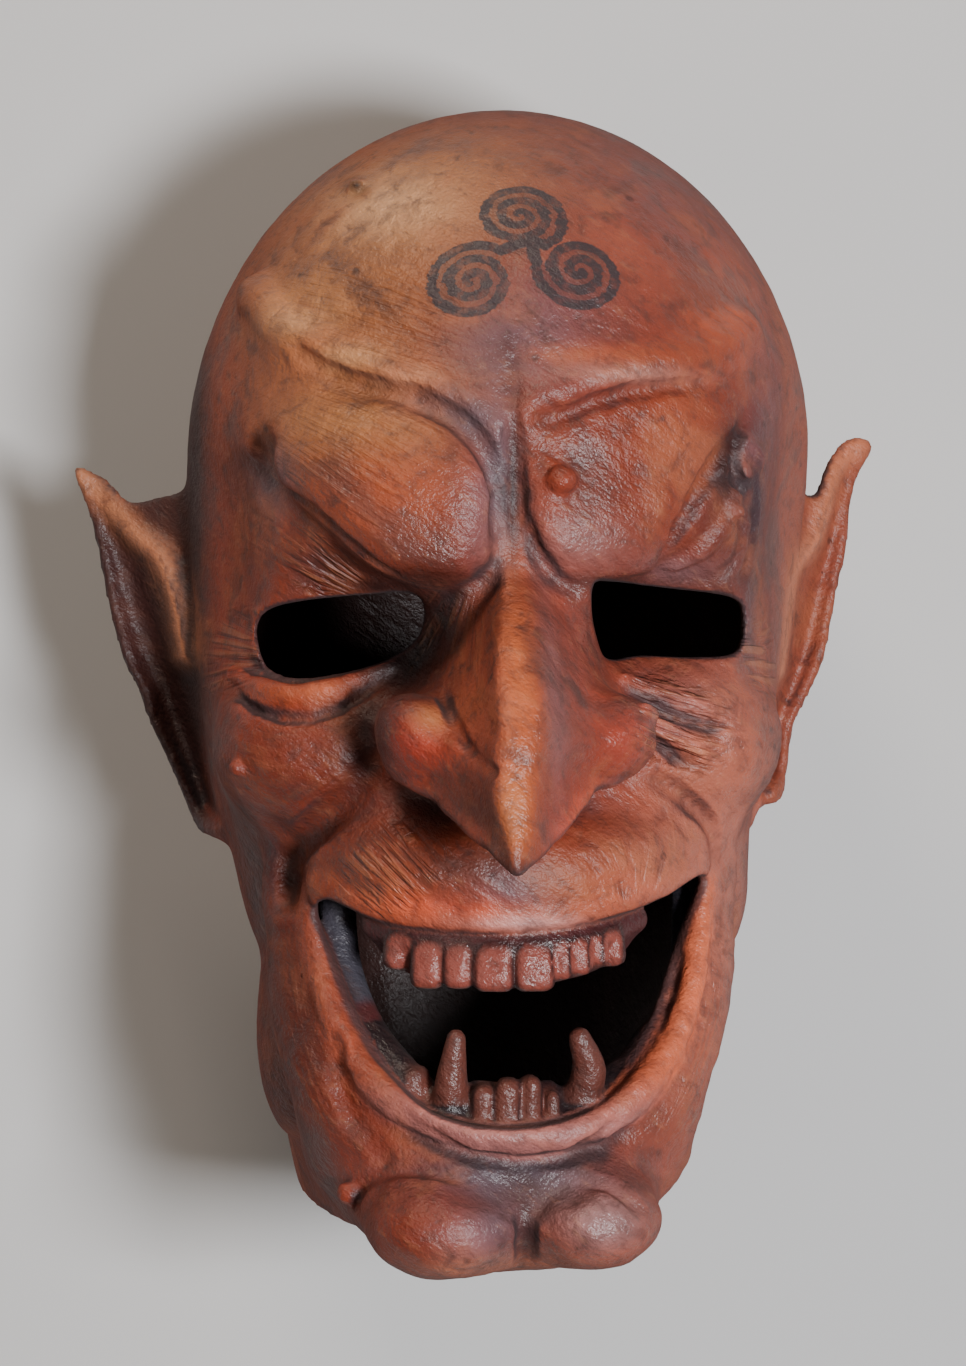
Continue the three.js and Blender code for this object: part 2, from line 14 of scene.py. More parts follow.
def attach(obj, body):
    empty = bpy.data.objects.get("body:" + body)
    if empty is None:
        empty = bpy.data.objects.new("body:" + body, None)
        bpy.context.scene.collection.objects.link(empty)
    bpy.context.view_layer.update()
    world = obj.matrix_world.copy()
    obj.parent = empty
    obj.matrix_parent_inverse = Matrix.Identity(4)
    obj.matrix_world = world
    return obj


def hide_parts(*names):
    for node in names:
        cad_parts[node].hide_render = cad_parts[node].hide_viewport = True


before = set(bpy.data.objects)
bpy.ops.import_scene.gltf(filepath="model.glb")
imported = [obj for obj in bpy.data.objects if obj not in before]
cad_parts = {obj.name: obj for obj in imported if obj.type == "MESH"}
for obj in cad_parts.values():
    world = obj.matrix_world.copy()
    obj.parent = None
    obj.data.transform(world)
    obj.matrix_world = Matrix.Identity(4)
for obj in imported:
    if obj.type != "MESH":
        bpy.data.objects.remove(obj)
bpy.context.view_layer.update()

# The frame's origin lies this far from the origin that the forms are drawn about
FRAME_SHIFT = np.array([0.25, -3.63, 0.0])
MM = 0.001

# Size of the cells that the surface is worked out in, and the triangles kept of it
CELL = 1.15
EAR_CELL, CROWN_CELL, BACK_CELL = 1.6, 1.5, 1.9
TRIANGLES = 190000

# Steps of the lattice along X, Y and Z, as (position, step): fine over the face, larger elsewhere
STEPS = [
    [(-124, EAR_CELL), (-92, EAR_CELL), (-76, CELL), (76, CELL), (92, EAR_CELL), (124, EAR_CELL)],
    [(-176, CELL), (84, CELL), (112, CROWN_CELL), (172, BACK_CELL)],
    [(-6, BACK_CELL), (90, BACK_CELL), (130, CELL), (262, CELL)],
]

# Distance where nothing is near, room left around a form, a depth before the whole face and a least divisor
FAR, MARGIN, FRONT, TINY = 60.0, 8.0, 300, 1e-6

# The wall, the least that grooves leave of it, the softness of its joins and the plane of the neck's rim
WALL, THIN_WALL = 3.8, 2.4
INSIDE_SOFT, WALL_EDGE, BACK_SOFT = 3, 0.5, 2
RIM_Y, RIM_SLOPE, RIM_SOFT = -137.0, -0.13, 0.8

# Head: rounded masses, each with its middle, half sizes, softness and turn in degrees
HEAD = [
    ((4, 62, 98), (89, 101.5, 105), 20, (0, 0, -2)),
    ((0, -8, 102), (80, 92, 90), 24, None),
    ((-3, -88, 122), (57, 66, 76), 16, None),
    ((-4, -80, 74), (56, 130, 78), 20, None),
]
HOLLOWS = [
    ((-46, 14, 190), (28, 21, 22), 10, (0, -14, -10)),
    ((46, 16, 190), (25, 20, 22), 10, (0, 14, 8)),
    ((-99, 40, 152), (24, 40, 34), 18, None),
    ((102, 42, 152), (24, 40, 34), 18, None),
]
CHEEKS = [
    ((-50, -18, 150), (28, 22, 30), 14, None),
    ((50, -16, 150), (27, 22, 30), 14, None),
    ((-2, -136, 180), (42, 20, 28), 10, None),
    ((38, -120, 164), (13, 20, 18), 8, None),
    ((-42, -120, 160), (13, 20, 20), 8, None),
]
NECK_ROLLS = [
    ((-58, -54, 112), (11, 20, 20), 7, None),
    ((-55, -100, 116), (10, 26, 22), 8, None),
    ((62, -56, 112), (12, 24, 20), 7, None),
]
MUZZLE = [(-50, -50, 152), (-30, -48, 180), (0, -50, 191), (30, -47, 179), (51, -43, 152)]
MUZZLE_RADII = [10, 13, 14, 13, 10]
MUZZLE_SOFT = 12
JAW_RIM = [
    (-51, -60, 148), (-50, -89, 157), (-39, -113, 174), (-2, -129, 183), (35, -112, 176), (49, -87, 158),
    (52, -56, 148),
]
JAW_RADIUS, JAW_SOFT = 13, 10

# Brows: cushions with a drawn outline in front view and a domed face
BROW_LEFT = [
    (-72, 64), (-66, 57), (-58, 49), (-48.5, 40), (-40, 32), (-32, 27.5), (-24, 25), (-16, 25), (-10, 28.5),
    (-6.6, 36), (-6, 45), (-7, 54), (-10, 62), (-15, 67.5), (-22, 71), (-31, 75), (-44, 78), (-53, 84),
    (-62, 90), (-72, 94), (-80, 80),
]
BROW_RIGHT = [
    (-0.2, 68), (0.2, 58), (1.2, 48), (3.5, 38), (9, 31.5), (18, 28), (28, 28), (37, 30), (42, 38),
    (48, 48), (56, 58), (64, 67), (70, 76), (60, 80), (50, 79.5), (40, 78.5), (30, 76.5), (20, 72.5),
    (9, 70),
]
BROW_DOMES = [((-17, 46, 130), (64, 57, 80)), ((-6, 43, 124), (88, 54, 83))]
BROW_EDGE, BROW_SOFT = 8, 3
FROWN = [
    [(-5, 64), (-10, 71), (-20, 77), (-34, 82), (-46, 86), (-58, 93), (-66, 106)],
    [(-1, 67), (4, 73), (12, 77), (24, 80.5), (38, 84), (52, 88), (64, 95)],
]
FROWN_RADII = [3, 3.6, 4.2, 4.8, 5.4, 6]
FROWN_LIFT, FROWN_SOFT = 2.4, 5

# Nose: rows down the bridge (y, left edge, right edge, height), its outline in front view and its foot
NOSE_ROWS = [
    (34, -4, 1.5, 194), (25, -4.8, 3, 206), (9, -8.7, 2.7, 231), (-2, -9.7, 3.6, 242),
    (-12, -9, 2.5, 247.5), (-23, -11.5, 0.7, 250), (-30, -11, 0.5, 252), (-40, -7.4, -1, 254.5),
    (-49, -5.6, -5, 256),
]
NOSE_OUTLINE = [
    (-5, 35), (-9.5, 24), (-13.6, 15.7), (-19.8, 4.5), (-24, -2), (-30, -6), (-34, -11), (-35, -17),
    (-33, -24), (-24.4, -31), (-16.2, -39), (-10.6, -44.5), (-5.4, -48.6), (1.5, -45), (10.4, -39),
    (17, -33.4), (26.7, -27), (32, -21.4), (33.5, -15.7), (31, -8), (25.6, -1.8), (21.8, 6.6), (18.5, 18),
    (12, 27), (3, 35),
]
NOSE_FOOT = [
    (35, 190), (10, 190), (0, 195), (-15, 205), (-24, 206), (-30, 216), (-39, 235), (-45, 247), (-49, 255),
]
NOSE_UNDER = [(-33, -28, 205), (33, -24, 208), (-6, -52.5, 256)]
NOSE_FALL = {"left": (0.7, 0.8), "right": (0.9, 2.6)}
NOSE_REACH = (130, 275)
NOSE_STEEPEST = 9
NOSE_EDGE, NOSE_UNDER_EDGE, NOSE_SOFT = 3, 4.5, 4
WINGS = [
    ((-25.5, -14, 205), (13, 10.4, 15), 5, (0, 0, -38)), ((23, -14.5, 205), (13, 10, 13.5), 7, (0, 0, 38)),
]
NOSE_CAVITY = [(0, 22, 178), (-1, 6, 197), (-2, -6, 211), (-2, -12, 219)]
NOSE_CAVITY_RADII = [9, 11, 9, 4]
NOSE_CAVITY_SOFT = 8

UPPER_LIP = [(-49, -56), (-34, -61), (-12, -62), (10, -61), (32, -56.5), (50, -50)]
UPPER_LIP_RADII = [4, 4.6, 5, 5, 4.6, 4]
UPPER_LIP_LIFT, UPPER_LIP_SOFT = 1.5, 6
LOWER_LIP = [
    (-52, -58, 162), (-50.5, -75, 168), (-44, -95, 180), (-30, -110, 193), (0, -118.6, 203),
    (27, -112, 195), (43, -96, 182), (51, -76, 170), (54, -54, 161),
]
LOWER_LIP_RADII = [3, 3.4, 4, 4.8, 5.4, 4.8, 4, 3.4, 3]
LOWER_LIP_SOFT = 3
CHIN_BALLS = [
    ((-18.8, -141.5, 197), (21, 14, 21), 2, (0, -6, 0)), ((19.6, -140, 197), (18.2, 13.2, 21), 2, (0, 6, 0)),
]
CHIN_SOFT = 6
CHIN_HOLLOW = [((0, -128, 212), (19, 8, 10), 5, None)]

# Openings, as outlines of the front view
MOUTH = [
    (-50.5, -58), (-44, -80), (-35, -99), (-22, -112), (0, -115.5), (23, -109.5), (37, -92), (48, -66),
    (53, -52), (42, -56.5), (30, -60.6), (10, -64.4), (-10, -65.2), (-34, -63.4),
]
EYES = [
    [(-66.5, 14), (-64, 19.5), (-55, 22), (-40, 23.5), (-27, 24), (-23, 20), (-24.5, 12), (-32, 6.5),
     (-43, 3), (-56, 1.5), (-64, 4.5)],
    [(20.5, 25), (26, 27), (44, 25.5), (62, 23), (65, 17), (63, 8.5), (50, 7), (36, 7.5), (26, 6.5),
     (23, 12)],
]
OPENING_BACK = 120
MOUTH_SOFT, EYE_SOFT = 2, 1.5

# Gums, ledges of the mouth and tusks: paths with radii. Teeth: left edge, right edge and end
GUM_BACKS = [
    ([(-33, -68, 175), (-24, -72, 187), (0, -73, 195), (19, -71, 190), (30, -67, 179)], 3),
    ([(-31, -71, 177), (-23, -75.5, 187), (0, -77, 195), (18, -74.5, 190), (28, -70, 180)], 2.6),
    ([(-30, -105, 178), (-16, -110, 189), (0, -112, 193), (16, -109, 189), (28, -104, 180)], 3),
    ([(-10, -107, 190), (0, -107.5, 193), (9, -107, 191)], 2.6),
]
LEDGES = [
    ([(-45, -60, 156), (-43.5, -77, 162), (-37.5, -93, 173), (-27, -106, 185)], 5),
    ([(50, -58, 150), (48, -77, 158), (41, -94, 170), (29, -107, 183)], 2.6),
]
UPPER_GUM = [(-36, -64, 176), (-24, -68, 189), (0, -69, 197), (20, -67, 192), (33, -63, 180)]
LOWER_GUM = [(-38, -101, 172), (-24, -113, 186), (0, -118, 195), (24, -111, 187), (38, -97, 174)]
UPPER_TEETH = [
    (-33, -27.4, -75.7), (-26.4, -19, -80.3), (-18.3, -11.6, -80.1), (-10.7, -1.2, -80.7),
    (-0.2, 9.2, -80.6), (9.7, 13.9, -77.8), (14.4, 19.1, -76.8), (19.6, 23.3, -74.9), (23.7, 28.2, -74.9),
]
LOWER_TEETH = [
    (-28, -22.5, -101), (-10.9, -5.6, -105), (-5.2, 0.9, -103.2), (1.2, 6.1, -102.5), (7.2, 10.6, -106.5),
]
GUM_RADIUS, GUM_SOFT = 3.8, 2
LOWER_GUM_RADIUS, LOWER_GUM_SOFT = 5, 3
LEDGE_SOFT, TUSK_SOFT = 3, 2
TOOTH_LEAN, TOOTH_HALF_DEPTH, TOOTH_FORWARD = 6, 4, 0.9
TOOTH_ROUND, TOOTH_SOFT = 2.6, 0.5
UPPER_WIDER, LOWER_WIDER, LOWER_ROOT = 0.65, 0.2, -3
TUSKS = [
    ([(-16.5, -115, 190), (-16.8, -105, 193), (-15.8, -93, 196)], [5, 4.4, 2.6]),
    ([(16.5, -113, 190), (19.4, -102, 194), (16.6, -93, 197)], [5, 4.6, 3]),
]

# Ears: outline of the leaf, its ridge, its hollow and its outer rim, then where root and tip lie
EARS = [
    {
        "outline": [
            (-117.8, 62.3), (-108.5, 59.4), (-103, 53.6), (-99, 52), (-88, 54), (-74, 50), (-66, 20),
            (-68, -20), (-72, -42), (-79, -43.5), (-83, -40), (-88, -28), (-92, -19), (-96, -11),
            (-98.5, -3), (-102.5, 5), (-106, 16), (-108.5, 27), (-112.5, 47),
        ],
        "ridge": [(-115.5, 60), (-107, 51), (-99, 42), (-92.5, 36), (-88, 24), (-85, 8)],
        "hollow": [(-112, 53), (-104, 38), (-99, 22), (-93, 4), (-86, -16), (-80, -34)],
        "rim": [
            (-116.5, 60), (-111.3, 46), (-107.3, 27), (-104.8, 16), (-101.3, 5), (-97.3, -3), (-94.8, -11),
            (-90.8, -19), (-86.8, -28), (-82, -38), (-76, -42),
        ],
    },
    {
        "outline": [
            (109.5, 72.3), (116.6, 70.3), (112.6, 62), (110.2, 55), (108.3, 39.5), (106, 30), (103.5, 19),
            (101, 7), (96, -4), (91.5, -13), (89, -28), (86.5, -34), (80, -36), (75, -40), (68, -10),
            (68, 25), (76, 52), (92, 54), (98, 55.5), (99.5, 60), (103.4, 67),
        ],
        "ridge": [(112, 70), (103.6, 61), (99.5, 48), (96, 40.5), (89, 33), (86, 20), (84, 4)],
        "hollow": [(110, 62), (105, 46), (101, 30), (96, 12), (90, -6), (84, -24)],
        "rim": [
            (114.8, 68.8), (111, 60), (108.7, 52), (106.8, 39), (104.5, 30), (102, 19), (99.5, 8),
            (94.8, -3), (90, -12), (87.5, -26), (84, -32),
        ],
    },
]
EAR_ROOT_Z, EAR_TIP_Z = 103, 79
EAR_ROOT_X, EAR_TIP_X = 74, 116
EAR_REACH = (50, 130)
EAR_THICK, EAR_EDGE, EAR_SOFT = 4.4, 2.5, 5

# Relief of the ears: line, height, width and whether it fades to the tip
EAR_RELIEF = [("ridge", 7, 3.6, True), ("hollow", -10, 7, True), ("rim", 2.6, 2.2, False)]


# Distances on a lattice


def smooth_min(a, b, k):
    """The lesser of two distances, rounded where they are nearly the same."""
    h = np.clip(0.5 + 0.5 * (b - a) / k, 0, 1)
    return b + (a - b) * h - k * h * (1 - h)


def spaced(stops):
    """Positions whose step runs smoothly between the (position, step) stops."""
    at, step = zip(*stops)
    out = [at[0]]
    while out[-1] < at[-1]:
        out.append(out[-1] + np.interp(out[-1], at, step))
    return np.array(out, np.float32)


def spline(points, per, closed=False):
    """A smooth curve through points of any number of columns."""
    p = np.array(points, float)
    ends = (p[-1:], p[:2]) if closed else (2 * p[:1] - p[1:2], 2 * p[-1:] - p[-2:-1])
    q = np.vstack([ends[0], p, ends[1]])
    out = []
    for a, b, c, d in zip(q, q[1:], q[2:], q[3:]):
        for t in np.arange(per) / per:
            out.append(0.5 * (2 * b + (c - a) * t + (2 * a - 5 * b + 4 * c - d) * t * t
                              + (3 * b - a - 3 * c + d) * t ** 3))
    if not closed:
        out.append(p[-1])
    return np.array(out)


def stretched(values, count):
    """The values at a number of even steps from the first to the last."""
    return np.interp(np.linspace(0, 1, count), np.linspace(0, 1, len(values)), values)


def rotation(degrees):
    """Turn about X, then Y, then Z."""
    if degrees is None:
        return np.eye(3)
    x, y, z = (Matrix.Rotation(math.radians(d), 3, axis) for d, axis in zip(degrees, "XYZ"))
    return np.array(z @ y @ x)


def segment_distance(p, path, radii=None):
    """Distance in the plane or in space from arrays of coordinates to a path, less its radius."""
    best = FAR
    for n, (a, b) in enumerate(zip(path, path[1:])):
        way = b - a
        t = sum((c - s) * w for c, s, w in zip(p, a, way)) / max(float(way @ way), 1e-9)
        t = np.clip(t, 0, 1)
        gap = np.sqrt(sum((c - s - t * w) ** 2 for c, s, w in zip(p, a, way)))
        if radii is not None:
            gap = gap - radii[n] - t * (radii[n + 1] - radii[n])
        best = np.minimum(best, gap)
    return best


def outline_distance(x, y, outline):
    """Distance in the front view to a closed outline, negative inside."""
    best, inside = FAR ** 2, False
    for a, b in zip(outline, np.roll(outline, -1, 0)):
        e = b - a
        t = np.clip(((x - a[0]) * e[0] + (y - a[1]) * e[1]) / (e @ e), 0, 1)
        best = np.minimum(best, (x - a[0] - t * e[0]) ** 2 + (y - a[1] - t * e[1]) ** 2)
        if a[1] != b[1]:
            inside = inside ^ (((a[1] > y) != (b[1] > y)) & (x < a[0] + e[0] * (y - a[1]) / e[1]))
    return np.where(inside, -np.sqrt(best), np.sqrt(best))


class Field:
    """A distance, negative inside, on a lattice whose steps differ from place to place."""

    def __init__(self, axes):
        self.axes = axes
        self.f = np.full([len(a) for a in axes], FAR, np.float32)

    def block(self, low, high):
        """The part of the lattice between two corners, with its coordinates."""
        parts = []
        for axis, a, b in zip(self.axes, low, high):
            first, last = np.searchsorted(axis, a), np.searchsorted(axis, b, "right")
            parts.append(slice(max(0, first - 1), min(len(axis), last + 1)))
        x, y, z = (axis[part] for axis, part in zip(self.axes, parts))
        return tuple(parts), x[:, None, None], y[None, :, None], z[None, None, :]

    def over(self, outline, back, front=FRONT, margin=MARGIN):
        """The part of the lattice over an outline of the front view, between two depths."""
        return self.block((*(outline.min(0) - margin), back), (*(outline.max(0) + margin), front))

    def turned(self, at, reach, m):
        """The block around a point, with its coordinates along the columns of m."""
        at = np.array(at, float)
        part, *c = self.block(at - reach, at + reach)
        x, y, z = (c[n] - at[n] for n in range(3))
        return part, [m[0, n] * x + m[1, n] * y + m[2, n] * z for n in range(3)]

    def join(self, found, soft):
        part, d = found
        self.f[part] = smooth_min(self.f[part], d, soft)

    def cut(self, found, soft):
        part, d = found
        self.f[part] = -smooth_min(-self.f[part], d, soft)

    def ellipsoid(self, at, half, soft, turn=None):
        m = rotation(turn)
        reach = np.sqrt(((m * np.array(half)) ** 2).sum(1)) + soft + MARGIN
        part, turned = self.turned(at, reach, m)
        near = slope = 0
        for q, h in zip(turned, half):
            near = near + (q / h) ** 2
            slope = slope + (q / h ** 2) ** 2
        near, slope = np.sqrt(near), np.sqrt(slope)
        return part, (near * (near - 1) / np.maximum(slope, TINY)).astype(np.float32)

    def join_ellipsoids(self, rows):
        for at, half, soft, turn in rows:
            self.join(self.ellipsoid(at, half, soft, turn), soft)

    def cut_ellipsoids(self, rows):
        for at, half, soft, turn in rows:
            self.cut(self.ellipsoid(at, half, soft, turn), soft)

    def rounded_box(self, at, half, radius, turn=None):
        part, turned = self.turned(at, np.linalg.norm(half) + MARGIN, rotation(turn))
        outside, inside = 0, -FAR
        for q, h in zip(turned, half):
            side = np.abs(q) - (h - radius)
            outside = outside + np.maximum(side, 0) ** 2
            inside = np.maximum(inside, side)
        return part, (np.sqrt(outside) + np.minimum(inside, 0) - radius).astype(np.float32)

    def tube(self, path, radii, soft, per=4):
        path = spline(path, per) if len(path) > 2 else np.array(path, float)
        radii = stretched(radii, len(path)) if np.ndim(radii) else np.full(len(path), float(radii))
        reach = radii.max() + soft + MARGIN
        part, x, y, z = self.block(path.min(0) - reach, path.max(0) + reach)
        sub = Field([x.ravel(), y.ravel(), z.ravel()])
        for n in range(len(path) - 1):
            ends = path[n:n + 2]
            piece, u, v, w = sub.block(ends.min(0) - reach, ends.max(0) + reach)
            d = segment_distance((u, v, w), ends, radii[n:n + 2])
            sub.f[piece] = np.minimum(sub.f[piece], d)
        return part, sub.f

    def cushion(self, outline, dome, edge):
        """An outline of the front view under a domed face."""
        at, half = dome
        outline = spline(outline, 4, closed=True)
        part, x, y, z = self.over(outline, at[2] - 2 * MARGIN, margin=2 * MARGIN)
        side = outline_distance(x[:, :, 0], y[:, :, 0], outline)[:, :, None]
        q = [(c - a) / h for c, a, h in zip((x, y, z), at, half)]
        near = np.sqrt(sum(v ** 2 for v in q))
        slope = np.sqrt(sum((v / h) ** 2 for v, h in zip(q, half)))
        top = near * (near - 1) / np.maximum(slope, TINY)
        return part, (-smooth_min(-side, -top, edge)).astype(np.float32)

    def window(self, outline, back):
        """A prism of the front view, from a depth forward."""
        outline = spline(outline, 4, closed=True)
        part, x, y, z = self.over(outline, back - MARGIN)
        side = outline_distance(x[:, :, 0], y[:, :, 0], outline)[:, :, None]
        return part, np.maximum(side, back - z).astype(np.float32)

    def front(self, x, y):
        """Height of the surface under a point of the front view."""
        xs, ys, zs = self.axes
        i = int(np.clip(np.searchsorted(xs, x) - 1, 0, len(xs) - 2))
        j = int(np.clip(np.searchsorted(ys, y) - 1, 0, len(ys) - 2))
        tx, ty = (x - xs[i]) / (xs[i + 1] - xs[i]), (y - ys[j]) / (ys[j + 1] - ys[j])
        low = self.f[i, j] * (1 - tx) + self.f[i + 1, j] * tx
        high = self.f[i, j + 1] * (1 - tx) + self.f[i + 1, j + 1] * tx
        column = low * (1 - ty) + high * ty
        k = np.nonzero(column[:-1] < 0)[0]
        if not len(k):
            return np.nan
        k = k[-1]
        share = np.clip(column[k] / (column[k] - column[k + 1]), 0, 1)
        return float(zs[k] + (zs[k + 1] - zs[k]) * share)

    def laid(self, points, per=5):
        """A smooth path through points of the front view, laid on the surface."""
        path = spline(points, per)
        z = np.array([self.front(x, y) for x, y in path])
        missing = np.isnan(z)
        if missing.any():
            z[missing] = np.interp(np.nonzero(missing)[0], np.nonzero(~missing)[0], z[~missing])
        return np.column_stack([path, z])

    def fold(self, points, radii, lift, soft):
        """A roll laid on the surface, standing proud of it by its lift."""
        path = self.laid(points)
        radii = stretched(radii, len(path))
        path[:, 2] += lift - radii
        self.join(self.tube(path, radii, soft, per=1), soft)

    def groove(self, points, radius, depth, soft=1.5):
        """A furrow laid in the surface, running out at both its ends."""
        path = self.laid(points)
        path[:, 2] = np.convolve(np.pad(path[:, 2], 4, "edge"), np.full(9, 1 / 9), "valid")
        deep = depth * np.sin(np.pi * np.linspace(0, 1, len(path))) ** FURROW_END
        path[:, 2] += radius - deep
        self.cut(self.tube(path, np.full(len(path), float(radius)), soft, per=1), soft)

    def sample(self, points):
        """The distance at points, between the lattice's values."""
        cell, share = [], []
        for axis, c in zip(self.axes, points.T):
            n = np.clip(np.searchsorted(axis, c) - 1, 0, len(axis) - 2)
            cell.append(n)
            share.append(np.clip((c - axis[n]) / (axis[n + 1] - axis[n]), 0, 1))
        out = 0
        for corner in np.ndindex(2, 2, 2):
            weight = np.prod([s if up else 1 - s for s, up in zip(share, corner)], axis=0)
            out = out + weight * self.f[tuple(n + up for n, up in zip(cell, corner))]
        return out


def surface_of(field):
    """Points and four-sided faces of the surface where the field is zero."""
    axes, f = field.axes, field.f
    size = [s - 1 for s in f.shape]
    inside = f < 0
    count = np.zeros(size, np.uint8)
    for i, j, k in np.ndindex(2, 2, 2):
        count += inside[i:i + size[0], j:j + size[1], k:k + size[2]]
    active = (count > 0) & (count < 8)
    cells = np.argwhere(active)
    index = np.full(size, -1, np.int32)
    index[active] = np.arange(len(cells))
    points, hits = np.zeros((len(cells), 3)), np.zeros(len(cells))
    for corner in np.ndindex(2, 2, 2):
        for axis in range(3):
            if corner[axis]:
                continue
            here = cells + corner
            there = here.copy()
            there[:, axis] += 1
            a = f[tuple(here.T)].astype(float)
            b = f[tuple(there.T)].astype(float)
            cross = (a < 0) != (b < 0)
            share = np.where(cross, a / np.where(cross, a - b, 1), 0)
            at = np.stack([axes[d][here[:, d]].astype(float) for d in range(3)], 1)
            at[:, axis] += share * (axes[axis][there[:, axis]] - axes[axis][here[:, axis]])
            points += np.where(cross[:, None], at, 0)
            hits += cross
    faces = []
    for axis in range(3):
        u, v = [d for d in range(3) if d != axis]
        low, high = [slice(None)] * 3, [slice(None)] * 3
        low[axis], high[axis] = slice(0, -1), slice(1, None)
        a, b = inside[tuple(low)], inside[tuple(high)]
        change = np.argwhere(a != b)
        held = (change[:, u] > 0) & (change[:, u] < size[u]) & (change[:, v] > 0) & (change[:, v] < size[v])
        change = change[held]
        ring = []
        for du, dv in ((1, 1), (0, 1), (0, 0), (1, 0)):
            c = change.copy()
            c[:, u] -= du
            c[:, v] -= dv
            ring.append(index[tuple(c.T)])
        quads = np.stack(ring, 1)
        flip = a[tuple(change.T)] ^ (axis == 1)
        quads[~flip] = quads[~flip][:, ::-1]
        faces.append(quads)
    return points / hits[:, None], np.vstack(faces)


# The sculpt


def masses(field):
    """The masses that carry the face."""
    field.join_ellipsoids(HEAD)
    field.cut_ellipsoids(HOLLOWS)
    field.join_ellipsoids(CHEEKS)
    field.join(field.tube(MUZZLE, MUZZLE_RADII, MUZZLE_SOFT), MUZZLE_SOFT)
    field.join(field.tube(JAW_RIM, JAW_RADIUS, JAW_SOFT), JAW_SOFT)
    for outline, dome in zip((BROW_LEFT, BROW_RIGHT), BROW_DOMES):
        field.join(field.cushion(outline, dome, BROW_EDGE), BROW_SOFT)


def nose_height(x, y, side):
    """Height of the nose in the front view: its ridge, falling to its foot at the outline on both sides."""
    rows, foot = np.array(NOSE_ROWS[::-1], float), np.array(NOSE_FOOT[::-1], float)
    left, right, top = (np.interp(y, rows[:, 0], rows[:, n]) for n in (1, 2, 3))
    low = np.interp(y, foot[:, 0], foot[:, 1])
    height = top
    for beyond, (power, soft) in ((left - x, NOSE_FALL["left"]), (x - right, NOSE_FALL["right"])):
        beyond = 0.5 * (beyond + np.sqrt(beyond ** 2 + soft ** 2))
        share = np.clip(beyond / np.maximum(beyond - side, 0.5), 0, 1)
        height = np.minimum(height, top - (top - low) * share ** power)
    return height


def nose(field):
    """A ruled tent over the outline, cut off below by the plane of its underside, with two round wings."""
    outline = spline(NOSE_OUTLINE, 3, closed=True)
    form = Field(field.axes)
    part, x, y, z = form.over(outline, *NOSE_REACH)
    x2, y2 = x[:, :, 0] + 0 * y[:, :, 0], y[:, :, 0] + 0 * x[:, :, 0]
    side = outline_distance(x2, y2, outline)
    height = nose_height(x2, y2, side)
    step_x, step_y = np.gradient(height, x2[:, 0], y2[0])
    steep = np.sqrt(1 + np.minimum(step_x ** 2 + step_y ** 2, NOSE_STEEPEST))
    tent = (z - height[:, :, None]) / steep[:, :, None]
    a, b, c = (np.array(corner, float) for corner in NOSE_UNDER)
    away = np.cross(c - a, b - a)
    away = away / np.linalg.norm(away)
    under = -(away[0] * (x - a[0]) + away[1] * (y - a[1]) + away[2] * (z - a[2]))
    d = -smooth_min(-np.broadcast_to(side[:, :, None], tent.shape), -tent, NOSE_EDGE)
    form.f[part] = -smooth_min(-d, -under, NOSE_UNDER_EDGE)
    form.join_ellipsoids(WINGS)
    field.f[:] = smooth_min(field.f, form.f, NOSE_SOFT)


def chin(field):
    """Two balls below the lip, and the hollow above them."""
    form = Field(field.axes)
    form.join_ellipsoids(CHIN_BALLS)
    field.f[:] = smooth_min(field.f, form.f, CHIN_SOFT)
    field.cut_ellipsoids(CHIN_HOLLOW)


def rolls(field):
    """The rolls of the neck and of the frown."""
    field.join_ellipsoids(NECK_ROLLS)
    for path in FROWN:
        field.fold(path, FROWN_RADII, FROWN_LIFT, FROWN_SOFT)


def lips(field):
    field.fold(UPPER_LIP, UPPER_LIP_RADII, UPPER_LIP_LIFT, UPPER_LIP_SOFT)
    field.join(field.tube(LOWER_LIP, LOWER_LIP_RADII, LOWER_LIP_SOFT), LOWER_LIP_SOFT)


def ear_form(field, ear):
    """A thin leaf with a ridge, a hollow beside it and a rolled rim."""
    outline = spline(ear["outline"], 3, closed=True)
    part, x, y, z = field.over(outline, *EAR_REACH)
    x2, y2 = x[:, :, 0], y[:, :, 0]
    share = np.clip((np.abs(x2) - EAR_ROOT_X) / (EAR_TIP_X - EAR_ROOT_X), 0, 1)
    rest = EAR_ROOT_Z + (EAR_TIP_Z - EAR_ROOT_Z) * share + 0 * y2
    fade = np.clip(1.15 - share, 0.1, 1)
    for line, height, width, fades in EAR_RELIEF:
        near = np.exp(-(segment_distance((x2, y2), spline(ear[line], 4)) / width) ** 2)
        rest = rest + height * (fade if fades else 1) * near
    step_x, step_y = np.gradient(rest, x2[:, 0], y2[0])
    steep = np.sqrt(1 + step_x ** 2 + step_y ** 2)[:, :, None]
    sheet = np.abs(z - rest[:, :, None]) / steep - EAR_THICK / 2
    side = outline_distance(x2, y2, outline)[:, :, None]
    field.join((part, (-smooth_min(-side, -sheet, EAR_EDGE)).astype(np.float32)), EAR_SOFT)


